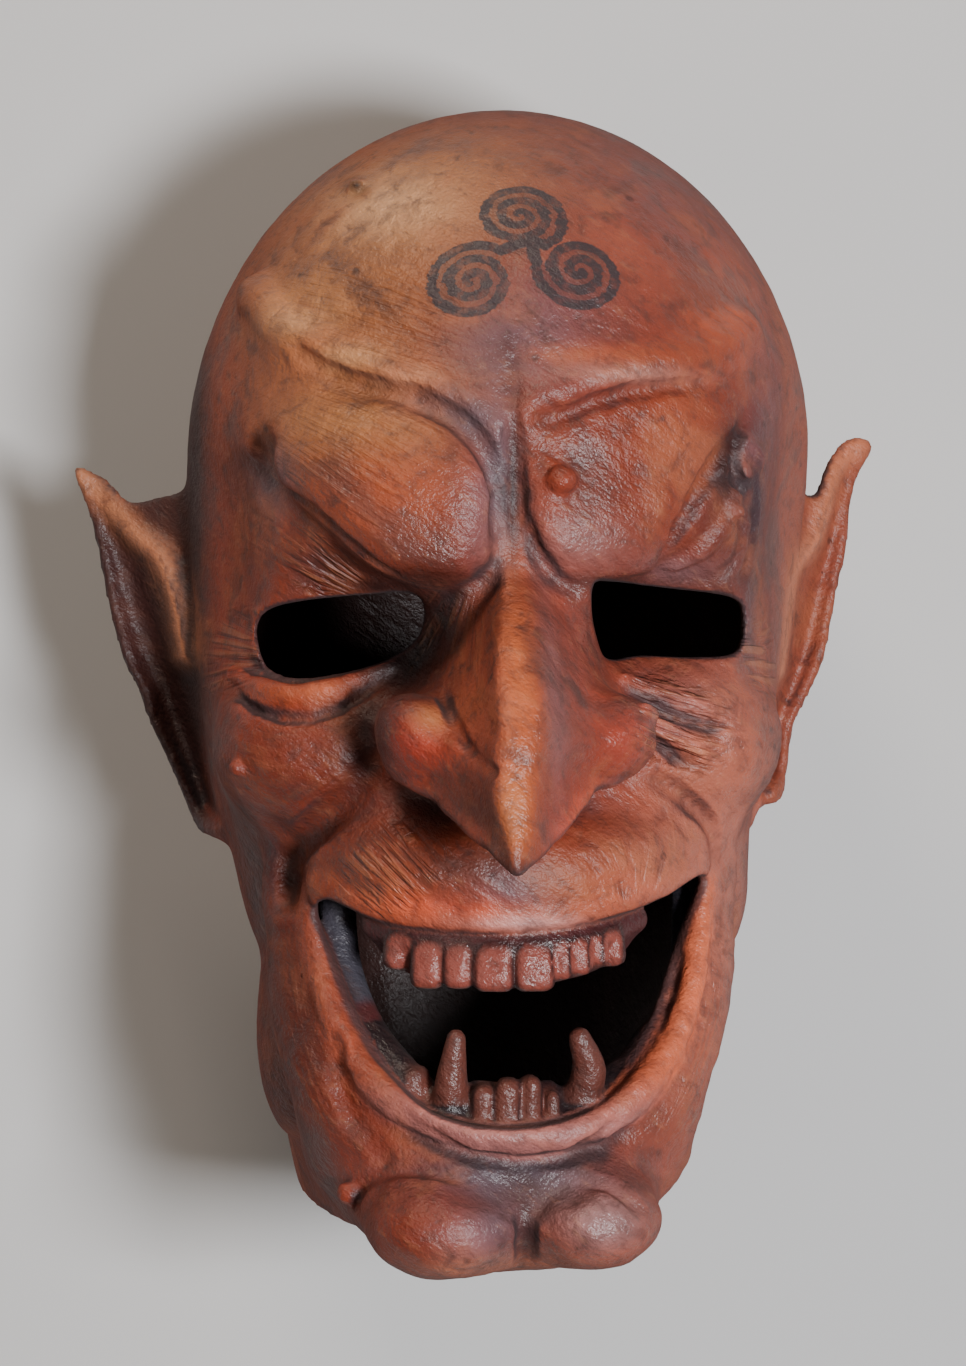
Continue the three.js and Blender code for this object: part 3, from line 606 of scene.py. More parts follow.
def tooth(field, left, right, end, gum, up):
    """A blunt tooth between its edges, from its end back to the gum."""
    middle = (left + right) / 2
    root_y, root_z = (np.interp(middle, gum[:, 0], gum[:, axis]) for axis in (1, 2))
    slope = np.interp(middle + 1, gum[:, 0], gum[:, 2]) - root_z
    root_y += LOWER_ROOT if up else 0
    wider = LOWER_WIDER if up else UPPER_WIDER
    half = ((right - left) / 2 + wider, abs(root_y - end) / 2, TOOTH_HALF_DEPTH)
    turn = (TOOTH_LEAN if up else -TOOTH_LEAN, -math.degrees(math.atan(slope)), 0)
    at = (middle, (root_y + end) / 2, root_z + TOOTH_FORWARD)
    field.join(field.rounded_box(at, half, min(TOOTH_ROUND, half[0] - 0.05), turn), TOOTH_SOFT)


def teeth(field):
    upper, lower = spline(UPPER_GUM, 8), spline(LOWER_GUM, 8)
    field.join(field.tube(UPPER_GUM, GUM_RADIUS, GUM_SOFT), GUM_SOFT)
    field.join(field.tube(LOWER_GUM, LOWER_GUM_RADIUS, LOWER_GUM_SOFT), LOWER_GUM_SOFT)
    for path, radius in GUM_BACKS + LEDGES:
        field.join(field.tube(path, radius, LEDGE_SOFT), LEDGE_SOFT)
    for left, right, end in UPPER_TEETH:
        tooth(field, left, right, end, upper, False)
    for left, right, end in LOWER_TEETH:
        tooth(field, left, right, end, lower, True)
    for path, radii in TUSKS:
        field.join(field.tube(path, radii, TUSK_SOFT), TUSK_SOFT)


def flatten_back(field):
    """Flattens the back, on which the mask lies."""
    z = np.broadcast_to(field.axes[2], field.f.shape)
    field.f[:] = -smooth_min(-field.f, z, BACK_SOFT)


def open_neck(field):
    """Opens the neck below a sloping plane."""
    x, y, z = field.axes
    above = (y[None, :, None] - RIM_Y - RIM_SLOPE * z[None, None, :]) / math.hypot(1, RIM_SLOPE)
    field.f[:] = -smooth_min(-field.f, above, RIM_SOFT)


# Creases cut in the skin: path in the front view, radius and depth
CREASES = [
    ([(-62, 92), (-53, 84.5), (-44, 79.5), (-34, 76.5), (-24, 74)], 3, 1.8),
    ([(-28, 75), (-19.5, 70.5), (-12.5, 65), (-8, 58), (-5.5, 50), (-4.5, 40)], 3, 1.6),
    ([(-2, 72), (-1.5, 64), (-1, 54), (-0.4, 42), (0.2, 33)], 2.7, 2.7),
    ([(0, 92), (-1, 84), (-2, 74)], 2.4, 0.7),
    ([(5, 68), (12, 69.5), (20, 73), (30.5, 76.2), (41.5, 78), (54, 80)], 2.4, 1.9),
    ([(41, 33), (44, 41), (50, 51.5), (56, 60), (63, 68)], 2.8, 2.8),
    ([(-68, 64), (-64, 56), (-58.3, 50), (-48.6, 41), (-40, 33), (-32.4, 28)], 2, 1.6),
    ([(55, 54), (61.7, 54.2), (70, 52.8)], 1.3, 1.1),
    ([(61.7, 53.4), (65, 49.3), (67.5, 45.3)], 1.3, 1.1),
    ([(60, 64), (63.5, 69), (66, 72)], 2, 1.7),
    ([(66, 63), (68, 56), (68, 46), (67.5, 36), (65, 27)], 1.6, 1.5),
    ([(61.5, 66), (60, 59), (62.5, 52), (64, 44), (63, 34), (58, 29)], 1.7, 1.5),
    ([(2, 40), (6, 32), (11.5, 26.5), (18, 23.5)], 2.2, 2),
    ([(-75, -1), (-66, -7.7), (-56, -9.5), (-46.4, -7.5), (-38, -2.4), (-33, 1)], 1.3, 1.5),
    ([(-72, 8), (-64, 2.4), (-52, 0.8), (-41, 4.4)], 1.4, 1.4),
    ([(31, -2.5), (38, -6.5), (52, -11.5), (62.6, -10.5)], 1.3, 1.6),
    ([(36, -14), (41, -17.5), (48.3, -24.6)], 1.3, 1.7),
    ([(-37, -21), (-45, -32), (-54, -41), (-59, -48), (-60, -57)], 5, 3),
    ([(40, -26), (48.6, -32), (56.7, -39.7), (59, -50)], 2.6, 2),
    ([(-21, -1), (-19.5, -6), (-16.8, -13.5), (-14, -19), (-10.5, -22)], 1.5, 1.6),
    ([(1, -135), (1.4, -141), (1.8, -148), (2, -154)], 2.8, 1.6),
    ([(-43, -137), (-40, -130), (-34, -126.5), (-24, -125.5), (-15, -127.5)], 3, 1.2),
    ([(3, -136), (8, -131), (15, -128.5), (24, -129.5), (31, -135)], 2.6, 1),
    ([(-30, -113), (-19, -120), (-8, -124), (0, -125), (10, -124), (20, -119.5), (30, -111)], 2, 1.2),
    ([(-49, -92), (-47, -104), (-43, -115), (-36, -124)], 4, 1.2),
]

# Rolls laid on the skin: path, radii, lift and softness
FOLDS = [
    ([(-73, 3), (-64, -2), (-52, -3.2), (-41, 0.5), (-33, 4)], [2, 3.2, 3.6, 3.2, 2], 2.8, 1.6),
    ([(30, 1), (40.5, -2.8), (53, -6.8)], [2, 2.6, 2], 2.1, 1.4),
    ([(32, -7), (41.3, -12.5), (51.3, -18.8)], [2, 2.4, 2], 2, 1.4),
    ([(62, 66), (65, 61), (66, 57)], [2, 4.5, 3], 2, 2.5),
    ([(63, 57), (60.5, 50), (57, 42.5), (51, 36), (45, 32)], [2.2, 3, 3.6, 3.2, 2.2], 1.8, 1.6),
]

# Warts: place and size
WARTS = [
    ((11, 53), 4.2), ((-39.4, 135.6), 2.6), ((-72, -22.8), 2.4), ((-43.4, -134.6), 3.2),
    ((61.3, 45.9), 1.8),
]
WART_LIFT, WART_FLATTER, WART_SOFT = 0.3, 0.9, 1.2

# Hollows pressed in before the rest
PITS = [((-71, 58, 171), (10, 11, 8), 7, None), ((-61, -49, 161), (6, 9, 7), 8, None)]

# How steeply a furrow runs out at its ends
FURROW_END = 0.6

# Fine wrinkles: each set runs between two guide lines, with its number of lines and its strength
WRINKLES = [
    ([(-68, 52), (-55, 43), (-44, 33), (-36, 27)], [(-72, 38), (-62, 31), (-52, 26), (-44, 23)], 9, 0.7),
    ([(-82, 24), (-74, 19), (-66, 14)], [(-80, -2), (-73, 1), (-65, 3)], 9, 0.7),
    ([(64, 14), (72, 15), (80, 20)], [(62, -2), (71, -4), (79, -8)], 7, 0.8),
    ([(-52, -42), (-44, -50), (-36, -57)], [(-30, -38), (-22, -48), (-12, -57)], 12, 0.55),
    ([(14, -38), (22, -48), (26, -58)], [(48, -34), (50, -44), (46, -52)], 9, 0.3),
    ([(-76, -10), (-60, -13), (-42, -8)], [(-74, -34), (-60, -38), (-46, -28)], 9, 0.15),
    ([(-64, 84), (-40, 76), (-18, 66)], [(-62, 58), (-46, 44), (-28, 31)], 20, 0.22),
    ([(-66, 118), (-40, 110), (-10, 96)], [(-62, 94), (-44, 87), (-16, 78)], 14, 0.25),
    ([(-16, 26), (-22, 12), (-28, 0)], [(-8, 22), (-10, 2), (-10, -14)], 8, 0.35),
    ([(26, 4), (44, -2), (62, -6)], [(30, -14), (44, -20), (58, -24)], 9, 0.9),
    ([(-64, -70), (-62, -95), (-50, -124)], [(-52, -70), (-48, -95), (-34, -122)], 7, 0.12),
    ([(54, -60), (52, -90), (36, -122)], [(66, -60), (62, -92), (44, -124)], 7, 0.2),
]

# Grain of the skin: how far from the surface it reaches, and the turn, size and height of its wrinkles
GRAIN_REACH = 2.5
GRAIN_TURN = (0, 0, 38)
GRAIN_SIZE = (9, 2.4, 6)
GRAIN_HEIGHT, LUMP_HEIGHT = 0.34, 0.26
FACE_BACK = 110
HASH = (73856093, 19349663, 83492791)
TABLE_SIZE = 4096


def noise(q, seed):
    """Smooth random values from -1 to 1, one step apart."""
    table = np.random.default_rng(seed).uniform(-1, 1, TABLE_SIZE)
    cell = np.floor(q).astype(np.int64)
    share = q - cell
    share = share * share * (3 - 2 * share)
    out = 0
    for corner in np.ndindex(2, 2, 2):
        a, b, c = ((cell[:, n] + corner[n]) * HASH[n] for n in range(3))
        out = out + np.prod(np.where(corner, share, 1 - share), axis=1) * table[(a ^ b ^ c) % TABLE_SIZE]
    return out


def grain(field):
    """Fine slanting wrinkles and lumps all over the skin."""
    near = np.nonzero(np.abs(field.f) < GRAIN_REACH)
    p = np.stack([axis[n] for axis, n in zip(field.axes, near)], 1).astype(float)
    slant = p @ rotation(GRAIN_TURN).T / GRAIN_SIZE
    lumps = noise(p / 8, 3) + 0.6 * noise(p / 4, 4)
    front = np.clip((p[:, 2] - FACE_BACK) / 40, 0.3, 1)
    field.f[near] += (front * (GRAIN_HEIGHT * noise(slant, 5) + LUMP_HEIGHT * lumps)).astype(np.float32)


def details(field):
    """Pits, folds, creases and warts."""
    field.cut_ellipsoids(PITS)
    for path, radii, lift, soft in FOLDS:
        field.fold(path, radii, lift, soft)
    for path, radius, depth in CREASES:
        field.groove(path, radius, depth)
    for (x, y), size in WARTS:
        at = (x, y, field.front(x, y) + WART_LIFT * size)
        half = (size, size * WART_FLATTER, size)
        field.join(field.ellipsoid(at, half, WART_SOFT), WART_SOFT)


def cavity(field):
    """The field of the inside: the head's masses less the wall, and the nose's hollow."""
    inner = Field(field.axes)
    inner.f[:] = field.f + WALL
    inner.join(inner.tube(NOSE_CAVITY, NOSE_CAVITY_RADII, NOSE_CAVITY_SOFT), NOSE_CAVITY_SOFT)
    floor = np.broadcast_to(field.axes[2] - WALL, inner.f.shape)
    inner.f[:] = -smooth_min(-inner.f, floor, INSIDE_SOFT)
    return inner


def sculpt():
    """The mask's field, and the field of its outside before it is hollowed."""
    field = Field([spaced(stops) for stops in STEPS])
    masses(field)
    inner = cavity(field)
    for form in (rolls, nose, lips, chin, details):
        form(field)
    for ear in EARS:
        ear_form(field, ear)
    grain(field)
    flatten_back(field)
    skin = Field(field.axes)
    skin.f[:] = field.f
    inner.f[:] = np.maximum(inner.f, skin.f + THIN_WALL)
    field.f[:] = -smooth_min(-field.f, inner.f, WALL_EDGE)
    open_neck(field)
    for outline, soft in ((MOUTH, MOUTH_SOFT), (EYES[0], EYE_SOFT), (EYES[1], EYE_SOFT)):
        field.cut(field.window(outline, OPENING_BACK), soft)
    teeth(field)
    return field, skin


def mesh_of(name, points, faces):
    mesh = bpy.data.meshes.new(name)
    mesh.from_pydata(points.tolist(), [], faces.tolist())
    mesh.update()
    return mesh


def largest_part(points, faces):
    """Drops what isn't joined to the main surface."""
    label = np.arange(len(points))
    while True:
        low = label[faces].min(1)
        new = label.copy()
        np.minimum.at(new, faces.ravel(), np.repeat(low, faces.shape[1]))
        new = new[new]
        if (new == label).all():
            break
        label = new
    names, counts = np.unique(label, return_counts=True)
    keep = label == names[counts.argmax()]
    number = np.cumsum(keep) - 1
    return points[keep], number[faces[keep[faces[:, 0]]]]


def thinned(obj, triangles):
    """Keeps the given number of triangles, most of them where the surface turns."""
    decimate = obj.modifiers.new("thin", "DECIMATE")
    decimate.ratio = triangles / (2 * len(obj.data.polygons))
    view = obj.evaluated_get(bpy.context.evaluated_depsgraph_get())
    mesh = bpy.data.meshes.new_from_object(view)
    obj.modifiers.clear()
    obj.data = mesh
    return mesh


def vectors(source, what):
    out = np.empty(len(source) * 3, np.float32)
    source.foreach_get(what, out)
    return out.reshape(-1, 3).astype(float)


field, skin = sculpt()
points, faces = largest_part(*surface_of(field))
mask_mesh = mesh_of("mask_skin", points, faces)
mask = bpy.data.objects.new("mask_skin", mask_mesh)
bpy.context.scene.collection.objects.link(mask)
mask_mesh = thinned(mask, TRIANGLES)
mask_mesh.name = "mask_skin"


# Paint: what the shader needs at each point


def srgb(r, g, b):
    """A linear colour from 0 to 255 parts."""
    c = np.array([r, g, b]) / 255
    return np.where(c < 0.04045, c / 12.92, ((c + 0.055) / 1.055) ** 2.4)


RUST = srgb(114, 46, 29)
GOLD = srgb(178, 116, 68)
ORANGE = srgb(161, 74, 42)
RED = srgb(148, 48, 32)
PLUM = srgb(108, 68, 70)
SLATE = srgb(84, 74, 82)
BROWN = srgb(74, 36, 29)
# Painted shade of the sides that turn away from the front
SHADED_FLANK = srgb(104, 37, 20)
CORAL = srgb(178, 86, 55)
LIP_SIDE = srgb(124, 58, 40)
# Mauve of the lower lip's middle, made paler as a painted highlight
LIP_LOW_AND_HIGHLIGHT = srgb(146, 94, 90)
# Painted shade, laid in creases, pits, clefts, notches and under the brows and nose
PAINTED_SHADE = srgb(46, 26, 26)
# Black of painted shadows beside the nose, under the left brow and in clefts and notches, and of the
# cranium's dark mole
SHADOW_AND_MOLE_BLACK = srgb(24, 14, 14)
# Mauve of a painted highlight
PAINTED_HIGHLIGHT_MAUVE = srgb(144, 96, 98)

# Patches of paint: middle, half width, half height, colour and share. Some are painted shade, shadow and
# highlight, marked as such
PATCHES = [
    (-46, 114, 34, 38, GOLD, 0.5),
    (-22, 136, 34, 22, GOLD, 0.6),
    (-56, 102, 14, 12, srgb(206, 144, 92), 0.4),
    (-32, 129, 17, 10, srgb(226, 168, 120), 0.75),
    (36, 128, 44, 30, PLUM, 0.42),
    (27, 113, 16, 14, CORAL, 0.35),
    (60, 102, 14, 15, CORAL, 0.7),
    (6, 94, 18, 17, PLUM, 0.85),
    (-6, 86, 14, 9, SLATE, 0.55),
    (-46, 70, 26, 13, GOLD, 0.75),
    (-36, 48, 18, 12, ORANGE, 0.8),
    (-10, 42, 7, 18, PLUM, 0.7),
    # Painted shade on the slope beside the cleft between the brows
    (-5, 50, 4.5, 22, srgb(86, 80, 90), 1.0),
    (-12, 68, 6, 6, SLATE, 0.8),
    (-21, 73, 9, 4.5, SLATE, 0.7),
    (-36, 77, 12, 4, BROWN, 0.5),
    # Painted highlight on the lower inner part of the right brow
    (16, 36, 12, 8, srgb(134, 90, 86), 0.7),
    (44, 66, 12, 12, ORANGE, 0.5),
    (22, 86, 24, 3, ORANGE, 0.5),
    # Painted highlights along the tops of the forehead's rolls, right and then left
    (30, 81, 17, 2.4, srgb(178, 122, 108), 0.65),
    (-57, 97, 9, 4, srgb(208, 152, 106), 0.5),
    (-43, 86, 9, 3.5, srgb(208, 152, 106), 0.5),
    (-29, 80, 8, 3, srgb(190, 132, 100), 0.5),
    (-79, 66, 7, 30, srgb(186, 86, 44), 0.9),
    # Painted shade in the left temple's pit
    (-70, 58, 8, 10, PAINTED_SHADE, 0.9),
    (72, 66, 9, 30, PLUM, 0.7),
    (-60, 36, 14, 9, BROWN, 0.5),
    (61, 47, 10, 18, srgb(66, 40, 42), 1.0),
    (46, 30, 14, 4, srgb(112, 78, 80), 0.9),
    (68, 44, 3.6, 24, srgb(42, 34, 42), 1.0),
    (66.5, 14, 3.6, 12, srgb(60, 50, 58), 0.9),
    # Painted shade in the right temple's notch
    (58, 58, 4, 8, PAINTED_SHADE, 0.7),
    (64.5, 62, 2.6, 4, PLUM, 0.8),
    # Painted shadow above the right eye's outer corner
    (60, 28, 12, 4, PAINTED_SHADE, 0.6),
    (-84, 20, 17, 54, srgb(146, 52, 22), 1.0),
    (82, 10, 8, 40, PLUM, 0.5),
    (-62, -22, 18, 14, srgb(122, 50, 33), 0.6),
    # Painted shadow in the valleys left of the nose and of its wing
    (-41, -18, 7, 17, PAINTED_SHADE, 0.85),
    (-35, 2, 7, 11, PAINTED_SHADE, 0.8),
    (60, -22, 18, 18, CORAL, 0.8),
    (-56, -2, 20, 3, ORANGE, 0.7),
    (46, -9, 15, 10, PLUM, 0.7),
    (-3.5, 2, 5.5, 34, srgb(190, 95, 52), 0.85),
    # Painted shade in the top of the cleft between the brows
    (-2, 83, 2.5, 8, PAINTED_SHADE, 0.5),
    (-13.5, -4, 5, 15, srgb(196, 94, 62), 0.9),
    # Painted shadow of the nose over the valley beside it, and under the left brow's edge
    (-31, 6, 6.5, 16, SHADOW_AND_MOLE_BLACK, 1.0),
    (-21, 17, 7, 11, SHADOW_AND_MOLE_BLACK, 1.0),
    (-32, 26, 18, 4, SHADOW_AND_MOLE_BLACK, 0.9),
    (6.5, -4, 3.6, 28, srgb(128, 84, 84), 0.75),
    (14, 4, 5, 20, srgb(150, 76, 66), 0.5),
    (-1, -12, 5, 8, ORANGE, 0.4),
    (-6, -32, 4, 10, srgb(182, 102, 56), 0.9),
    (-5, -48, 6, 5, BROWN, 1.0),
    (8, -34, 9, 11, RED, 0.4),
    (-28, -14, 9, 9, RED, 0.85),
    (-24, -9, 5, 4, GOLD, 0.5),
    (27, -15, 10, 12, RED, 0.6),
    # Painted shade on the nose's lower left plane, between the wing and the tip
    (-19, -33, 8, 7, BROWN, 0.8),
    (-34, -53, 19, 9, ORANGE, 0.8),
    (0, -49, 44, 5, BROWN, 0.45),
    (-17, -58, 13, 5, srgb(190, 80, 50), 0.6),
    (-6, -61, 26, 5, CORAL, 0.8),
    (0, -54, 11, 5, SLATE, 0.85),
    # Painted highlight along the middle of the upper lip's edge
    (2, -62.5, 15, 2, srgb(196, 142, 136), 0.85),
    (30, -52, 20, 10, CORAL, 0.7),
    # Painted shade in the pit at the left corner of the mouth
    (-60, -50, 7, 12, PAINTED_SHADE, 0.85),
    # Painted shade down the left side of the jaw, which turns from the light
    (-63, -90, 12, 50, srgb(80, 34, 25), 1.0),
    (-54, -84, 13, 34, srgb(72, 27, 18), 0.9),
    (-43, -104, 7, 16, srgb(112, 44, 28), 0.7),
    # Painted light: the right side of the face paler and pinker, as a cool light from the right falls on it
    (60, -66, 28, 66, srgb(166, 106, 92), 0.6),
    (52, -84, 8, 34, CORAL, 0.4),
    # Painted shade on the left side of the neck
    (-84, -50, 20, 40, srgb(70, 28, 20), 0.8),
    (0, -128, 27, 6, srgb(70, 60, 68), 1.0),
    (-7, -138, 9, 13, srgb(78, 64, 70), 0.95),
    (9, -133, 10, 5, SLATE, 0.8),
    (-28, -142, 13, 10, srgb(106, 40, 26), 0.5),
    # Painted highlight on the left chin ball
    (-14, -144, 8, 7, PAINTED_HIGHLIGHT_MAUVE, 0.5),
    (24, -144, 14, 10, ORANGE, 0.45),
    (-8, -152, 22, 5, srgb(170, 104, 78), 0.6),
    # Painted highlight on the right chin ball
    (21, -139, 10, 7, srgb(182, 136, 134), 0.8),
    # Painted shade in the chin's cleft
    (1.8, -143, 2, 12, PAINTED_SHADE, 0.85),
    # The cranium's dark mole
    (-39.4, 135.6, 3, 3, SHADOW_AND_MOLE_BLACK, 1.0),
    # Painted shadow beside the nose and its left wing, in the cleft between the brows and along the bridge's
    # left side
    (-26, 12, 7, 13, SHADOW_AND_MOLE_BLACK, 1.0),
    (-38, -12, 4, 10, SHADOW_AND_MOLE_BLACK, 0.8),
    (-1, 50, 1.6, 20, SHADOW_AND_MOLE_BLACK, 0.9),
    (-15.5, 23, 3.5, 5, SHADOW_AND_MOLE_BLACK, 0.8),
    (-20.5, 14, 4, 7, SHADOW_AND_MOLE_BLACK, 0.95),
    (-25.5, 5, 4, 7, SHADOW_AND_MOLE_BLACK, 0.9),
    # Painted shade at the left brow's outer end and under its lower edge
    (-63, 53, 5, 9, SLATE, 0.8),
    (-48, 33, 12, 3.5, PAINTED_SHADE, 0.6),
    (57, 41, 8, 9, srgb(92, 42, 33), 0.8),
    # Painted shade in the notches of the right temple's folds
    (57, 57, 3, 7, SHADOW_AND_MOLE_BLACK, 0.7),
    (61, 65, 3, 5, SHADOW_AND_MOLE_BLACK, 0.8),
    # Painted shadow under the right brow
    (24, 26.5, 18, 2.5, PAINTED_SHADE, 0.7),
    (-17, -58.5, 12, 3.5, srgb(186, 72, 46), 0.7),
]

# Weight and reach of the hollows that hold the dark wash and of the edges that are rubbed lighter
WASHED, WASH_FROM = [(1.0, 1.5), (0.6, 4), (0.6, 10)], 0.3
RUBBED, RUB_FROM = [(1.2, 2.5), (0.8, 6)], 0.15

# Nothing is rubbed on the ears or near the nose's tip
NOSE_TIP, NOSE_TIP_REACH = (-4, -47), 7
EARS_FROM_X = 80

# Painted shade: the skin is darker where it turns away from the front
SHADED_FLANK_BELOW, SHADED_FLANK_SHARE = 0.6, 0.7

# Ground and ridge colour of each ear, and the colours in the mouth
EAR_PAINTS = [(srgb(56, 30, 28), srgb(178, 112, 78)), (srgb(138, 68, 50), srgb(190, 112, 80))]
TEETH = srgb(130, 66, 56)
LOWER_TEETH_PAINT = srgb(92, 50, 42)
GUM = srgb(70, 34, 35)
LOWER_GUM_PAINT = srgb(34, 24, 26)
LEDGE = srgb(60, 57, 65)
INSIDE = srgb(46, 29, 26)
TOOTH_PAINT_WIDER, TOOTH_PAINT_EDGE = 0.6, 0.2
LIP_MIDDLE_Y, LIP_SHARE = -103, 0.8
EAR_PAINT_X = 76
CROWN_RADIUS = 103
WRINKLE_STEP = 14


def unit(values):
    return np.clip(values, 0, 1)


def blend(a, b, share):
    return a * (1 - share) + b * share


def off_path(p, path):
    return segment_distance(p.T, spline(path, 4))


def teeth_paint(p):
    """Gums, with every tooth lighter inside a dark outline of painted shade where it meets the gum."""
    colour = np.where(p[:, 1:2] > -90, GUM, LOWER_GUM_PAINT)
    for teeth, gum, tone in ((UPPER_TEETH, UPPER_GUM, TEETH), (LOWER_TEETH, LOWER_GUM, LOWER_TEETH_PAINT)):
        line = spline(gum, 8)
        for left, right, end in teeth:
            middle = (left + right) / 2
            root = np.interp(middle, line[:, 0], line[:, 1])
            across = np.abs(p[:, 0] - middle) / ((right - left) / 2 + TOOTH_PAINT_WIDER)
            along = np.abs(p[:, 1] - (root + end) / 2) / (abs(root - end) / 2 + TOOTH_PAINT_WIDER)
            off = (across ** 3 + along ** 3) ** (1 / 3)
            for edge, shade in ((1.3, PAINTED_SHADE), (1.02, tone)):
                colour = blend(colour, shade, unit((edge - off) / TOOTH_PAINT_EDGE)[:, None])
    tusks = np.minimum(*[off_path(p, path) for path, _ in TUSKS])
    return blend(colour, LOWER_TEETH_PAINT, unit((6 - tusks) / 1.5)[:, None] * (p[:, 1:2] > -110))


def lengthened(path, by=40):
    """The path with a straight piece added at both ends."""
    ways = [path[0] - path[1], path[-1] - path[-2]]
    start, end = [at + way * by / np.linalg.norm(way) for at, way in zip((path[0], path[-1]), ways)]
    return np.vstack([start, path, end])


def wrinkled(p):
    """Place across and along the nearest set of wrinkles, and how strong it is there."""
    out = np.zeros((len(p), 3))
    flat = p[:, :2]
    for first, last, count, strength in WRINKLES:
        a, b = spline(first, 4), spline(last, 4)
        near, far = (segment_distance(flat.T, lengthened(line)) for line in (a, b))
        gap = np.linalg.norm(a.mean(0) - b.mean(0))
        across = near / np.maximum(near + far, 0.1)
        way = (a[-1] - a[0]) / np.linalg.norm(a[-1] - a[0])
        along = (flat - (a[0] + b[0]) / 2) @ way
        length = (np.linalg.norm(a[-1] - a[0]) + np.linalg.norm(b[-1] - b[0])) / 2
        inside = unit((1.25 * gap - near - far) / (0.25 * gap))
        inside = inside * unit(np.minimum(along, length - along) / (0.2 * length)) * strength
        inside = np.where(p[:, 2] > FACE_BACK, inside, 0)
        more = inside > out[:, 2]
        out[more] = np.stack([across * count, along / WRINKLE_STEP, inside], 1)[more]
    return out


def skin_paint(p, n):
    """The patches over rust, among them painted shade and highlights, and a darker red of painted shade where
    the skin turns away from the front.
    """
    colour = np.tile(RUST, (len(p), 1))
    facing = unit(n[:, 2] * 1.5 + 0.6)
    for x, y, w, h, tone, share in PATCHES:
        near = np.exp(-((p[:, 0] - x) / w) ** 2 - ((p[:, 1] - y) / h) ** 2)
        colour = blend(colour, tone, (near * share * facing)[:, None])
    return blend(colour, SHADED_FLANK, unit((SHADED_FLANK_BELOW - n[:, 2:]) / SHADED_FLANK_BELOW) * SHADED_FLANK_SHARE)


def lip_paint(colour, p):
    """The lower lip, orange at its sides and pale in its middle, where the pale mauve paint is made paler as
    a painted highlight.
    """
    line = spline(LOWER_LIP, 6)
    off = segment_distance(p.T, line, stretched(LOWER_LIP_RADII, len(line)))
    low = unit((LIP_MIDDLE_Y - p[:, 1]) / 12)[:, None]
    side = blend(LIP_SIDE, CORAL, unit(p[:, :1] / 20))
    return blend(colour, blend(side, LIP_LOW_AND_HIGHLIGHT, low), unit(1 - np.maximum(off, 0) / 2)[:, None] * LIP_SHARE)


def ear_paint(colour, p):
    for side, ear, (ground, light) in zip((-1, 1), EARS, EAR_PAINTS):
        on = unit((side * p[:, 0] - EAR_PAINT_X) / 6)[:, None]
        crest = np.exp(-(segment_distance(p.T[:2], spline(ear["ridge"], 4)) / 3.4) ** 2)[:, None] * 0.9
        colour = blend(colour, blend(ground, light, crest), on)
    return colour


def teeth_share(p):
    """How far a point belongs to the gums, teeth and tusks."""
    gums = np.minimum(off_path(p, UPPER_GUM), off_path(p, LOWER_GUM) - 4)
    for path, _ in TUSKS:
        gums = np.minimum(gums, off_path(p, path) + 6)
    within = outline_distance(p[:, 0], p[:, 1], spline(MOUTH, 4, closed=True))
    return unit((13 - gums) / 2) * unit(-0.2 - within) * (p[:, 2] > 150)


def paint(mesh, skin):
    """Writes the paint, and what else the material needs, to the points of the mesh."""
    p = vectors(mesh.vertices, "co")
    n = vectors(mesh.vertex_normals, "vector")
    teeth_part = teeth_share(p)
    outside = unit((skin.sample(p) + 3.0) / 1.5) * (1 - teeth_part)
    inside = 1 - outside
    colour = ear_paint(lip_paint(skin_paint(p, n), p), p)
    colour = blend(colour, INSIDE, inside[:, None])
    for path, radius in LEDGES:
        colour = blend(colour, LEDGE, unit((radius + 1.5 - off_path(p, path)) / 1.5)[:, None])
    colour = blend(colour, teeth_paint(p), teeth_part[:, None])

    def hollow(reach):
        """How much the surface closes in over a point."""
        return np.clip(1 - skin.sample(p + n * reach) / reach, 0, 1.5)

    def edge(reach):
        """How much it falls away around a point."""
        return unit(1 + skin.sample(p - n * reach) / reach)

    wash = unit(sum(weight * hollow(reach) for weight, reach in WASHED) - WASH_FROM) * outside
    tip = np.exp(-(np.hypot(p[:, 0] - NOSE_TIP[0], p[:, 1] - NOSE_TIP[1]) / NOSE_TIP_REACH) ** 2)
    ridge = unit(sum(weight * edge(reach) for weight, reach in RUBBED) - RUB_FROM) * outside
    ridge = ridge * (np.abs(p[:, 0]) < EARS_FROM_X) * (1 - tip)
    angle = np.arctan2(p[:, 1] - HEAD[0][0][1], p[:, 2] - HEAD[0][0][2])
    shown = np.where((n[:, 2] > 0) & (outside > 0.5), 1.0, 0.0)
    vector = ("FLOAT_VECTOR", "vector")
    number = ("FLOAT", "value")
    for name, (kind, key), values in (
        ("paint", ("FLOAT_COLOR", "color"), np.column_stack([colour, np.ones(len(p))])),
        ("wash", number, wash),
        ("ridge", number, ridge),
        ("inside", number, inside),
        ("flank", number, unit((0.65 - n[:, 2]) / 0.5)),
        ("teeth", number, teeth_part),
        ("sign", vector, np.stack([p[:, 0], CROWN_RADIUS * angle, shown], 1)),
        ("wrinkles", vector, wrinkled(p)),
    ):
        layer = mesh.attributes.new(name, kind, "POINT")
        layer.data.foreach_set(key, np.ascontiguousarray(values, np.float32).ravel())


paint(mask_mesh, skin)
moved = (vectors(mask_mesh.vertices, "co") + FRAME_SHIFT) * MM
mask_mesh.vertices.foreach_set("co", moved.astype(np.float32).ravel())
mask_mesh.shade_smooth()
mask_mesh.update()


# Material


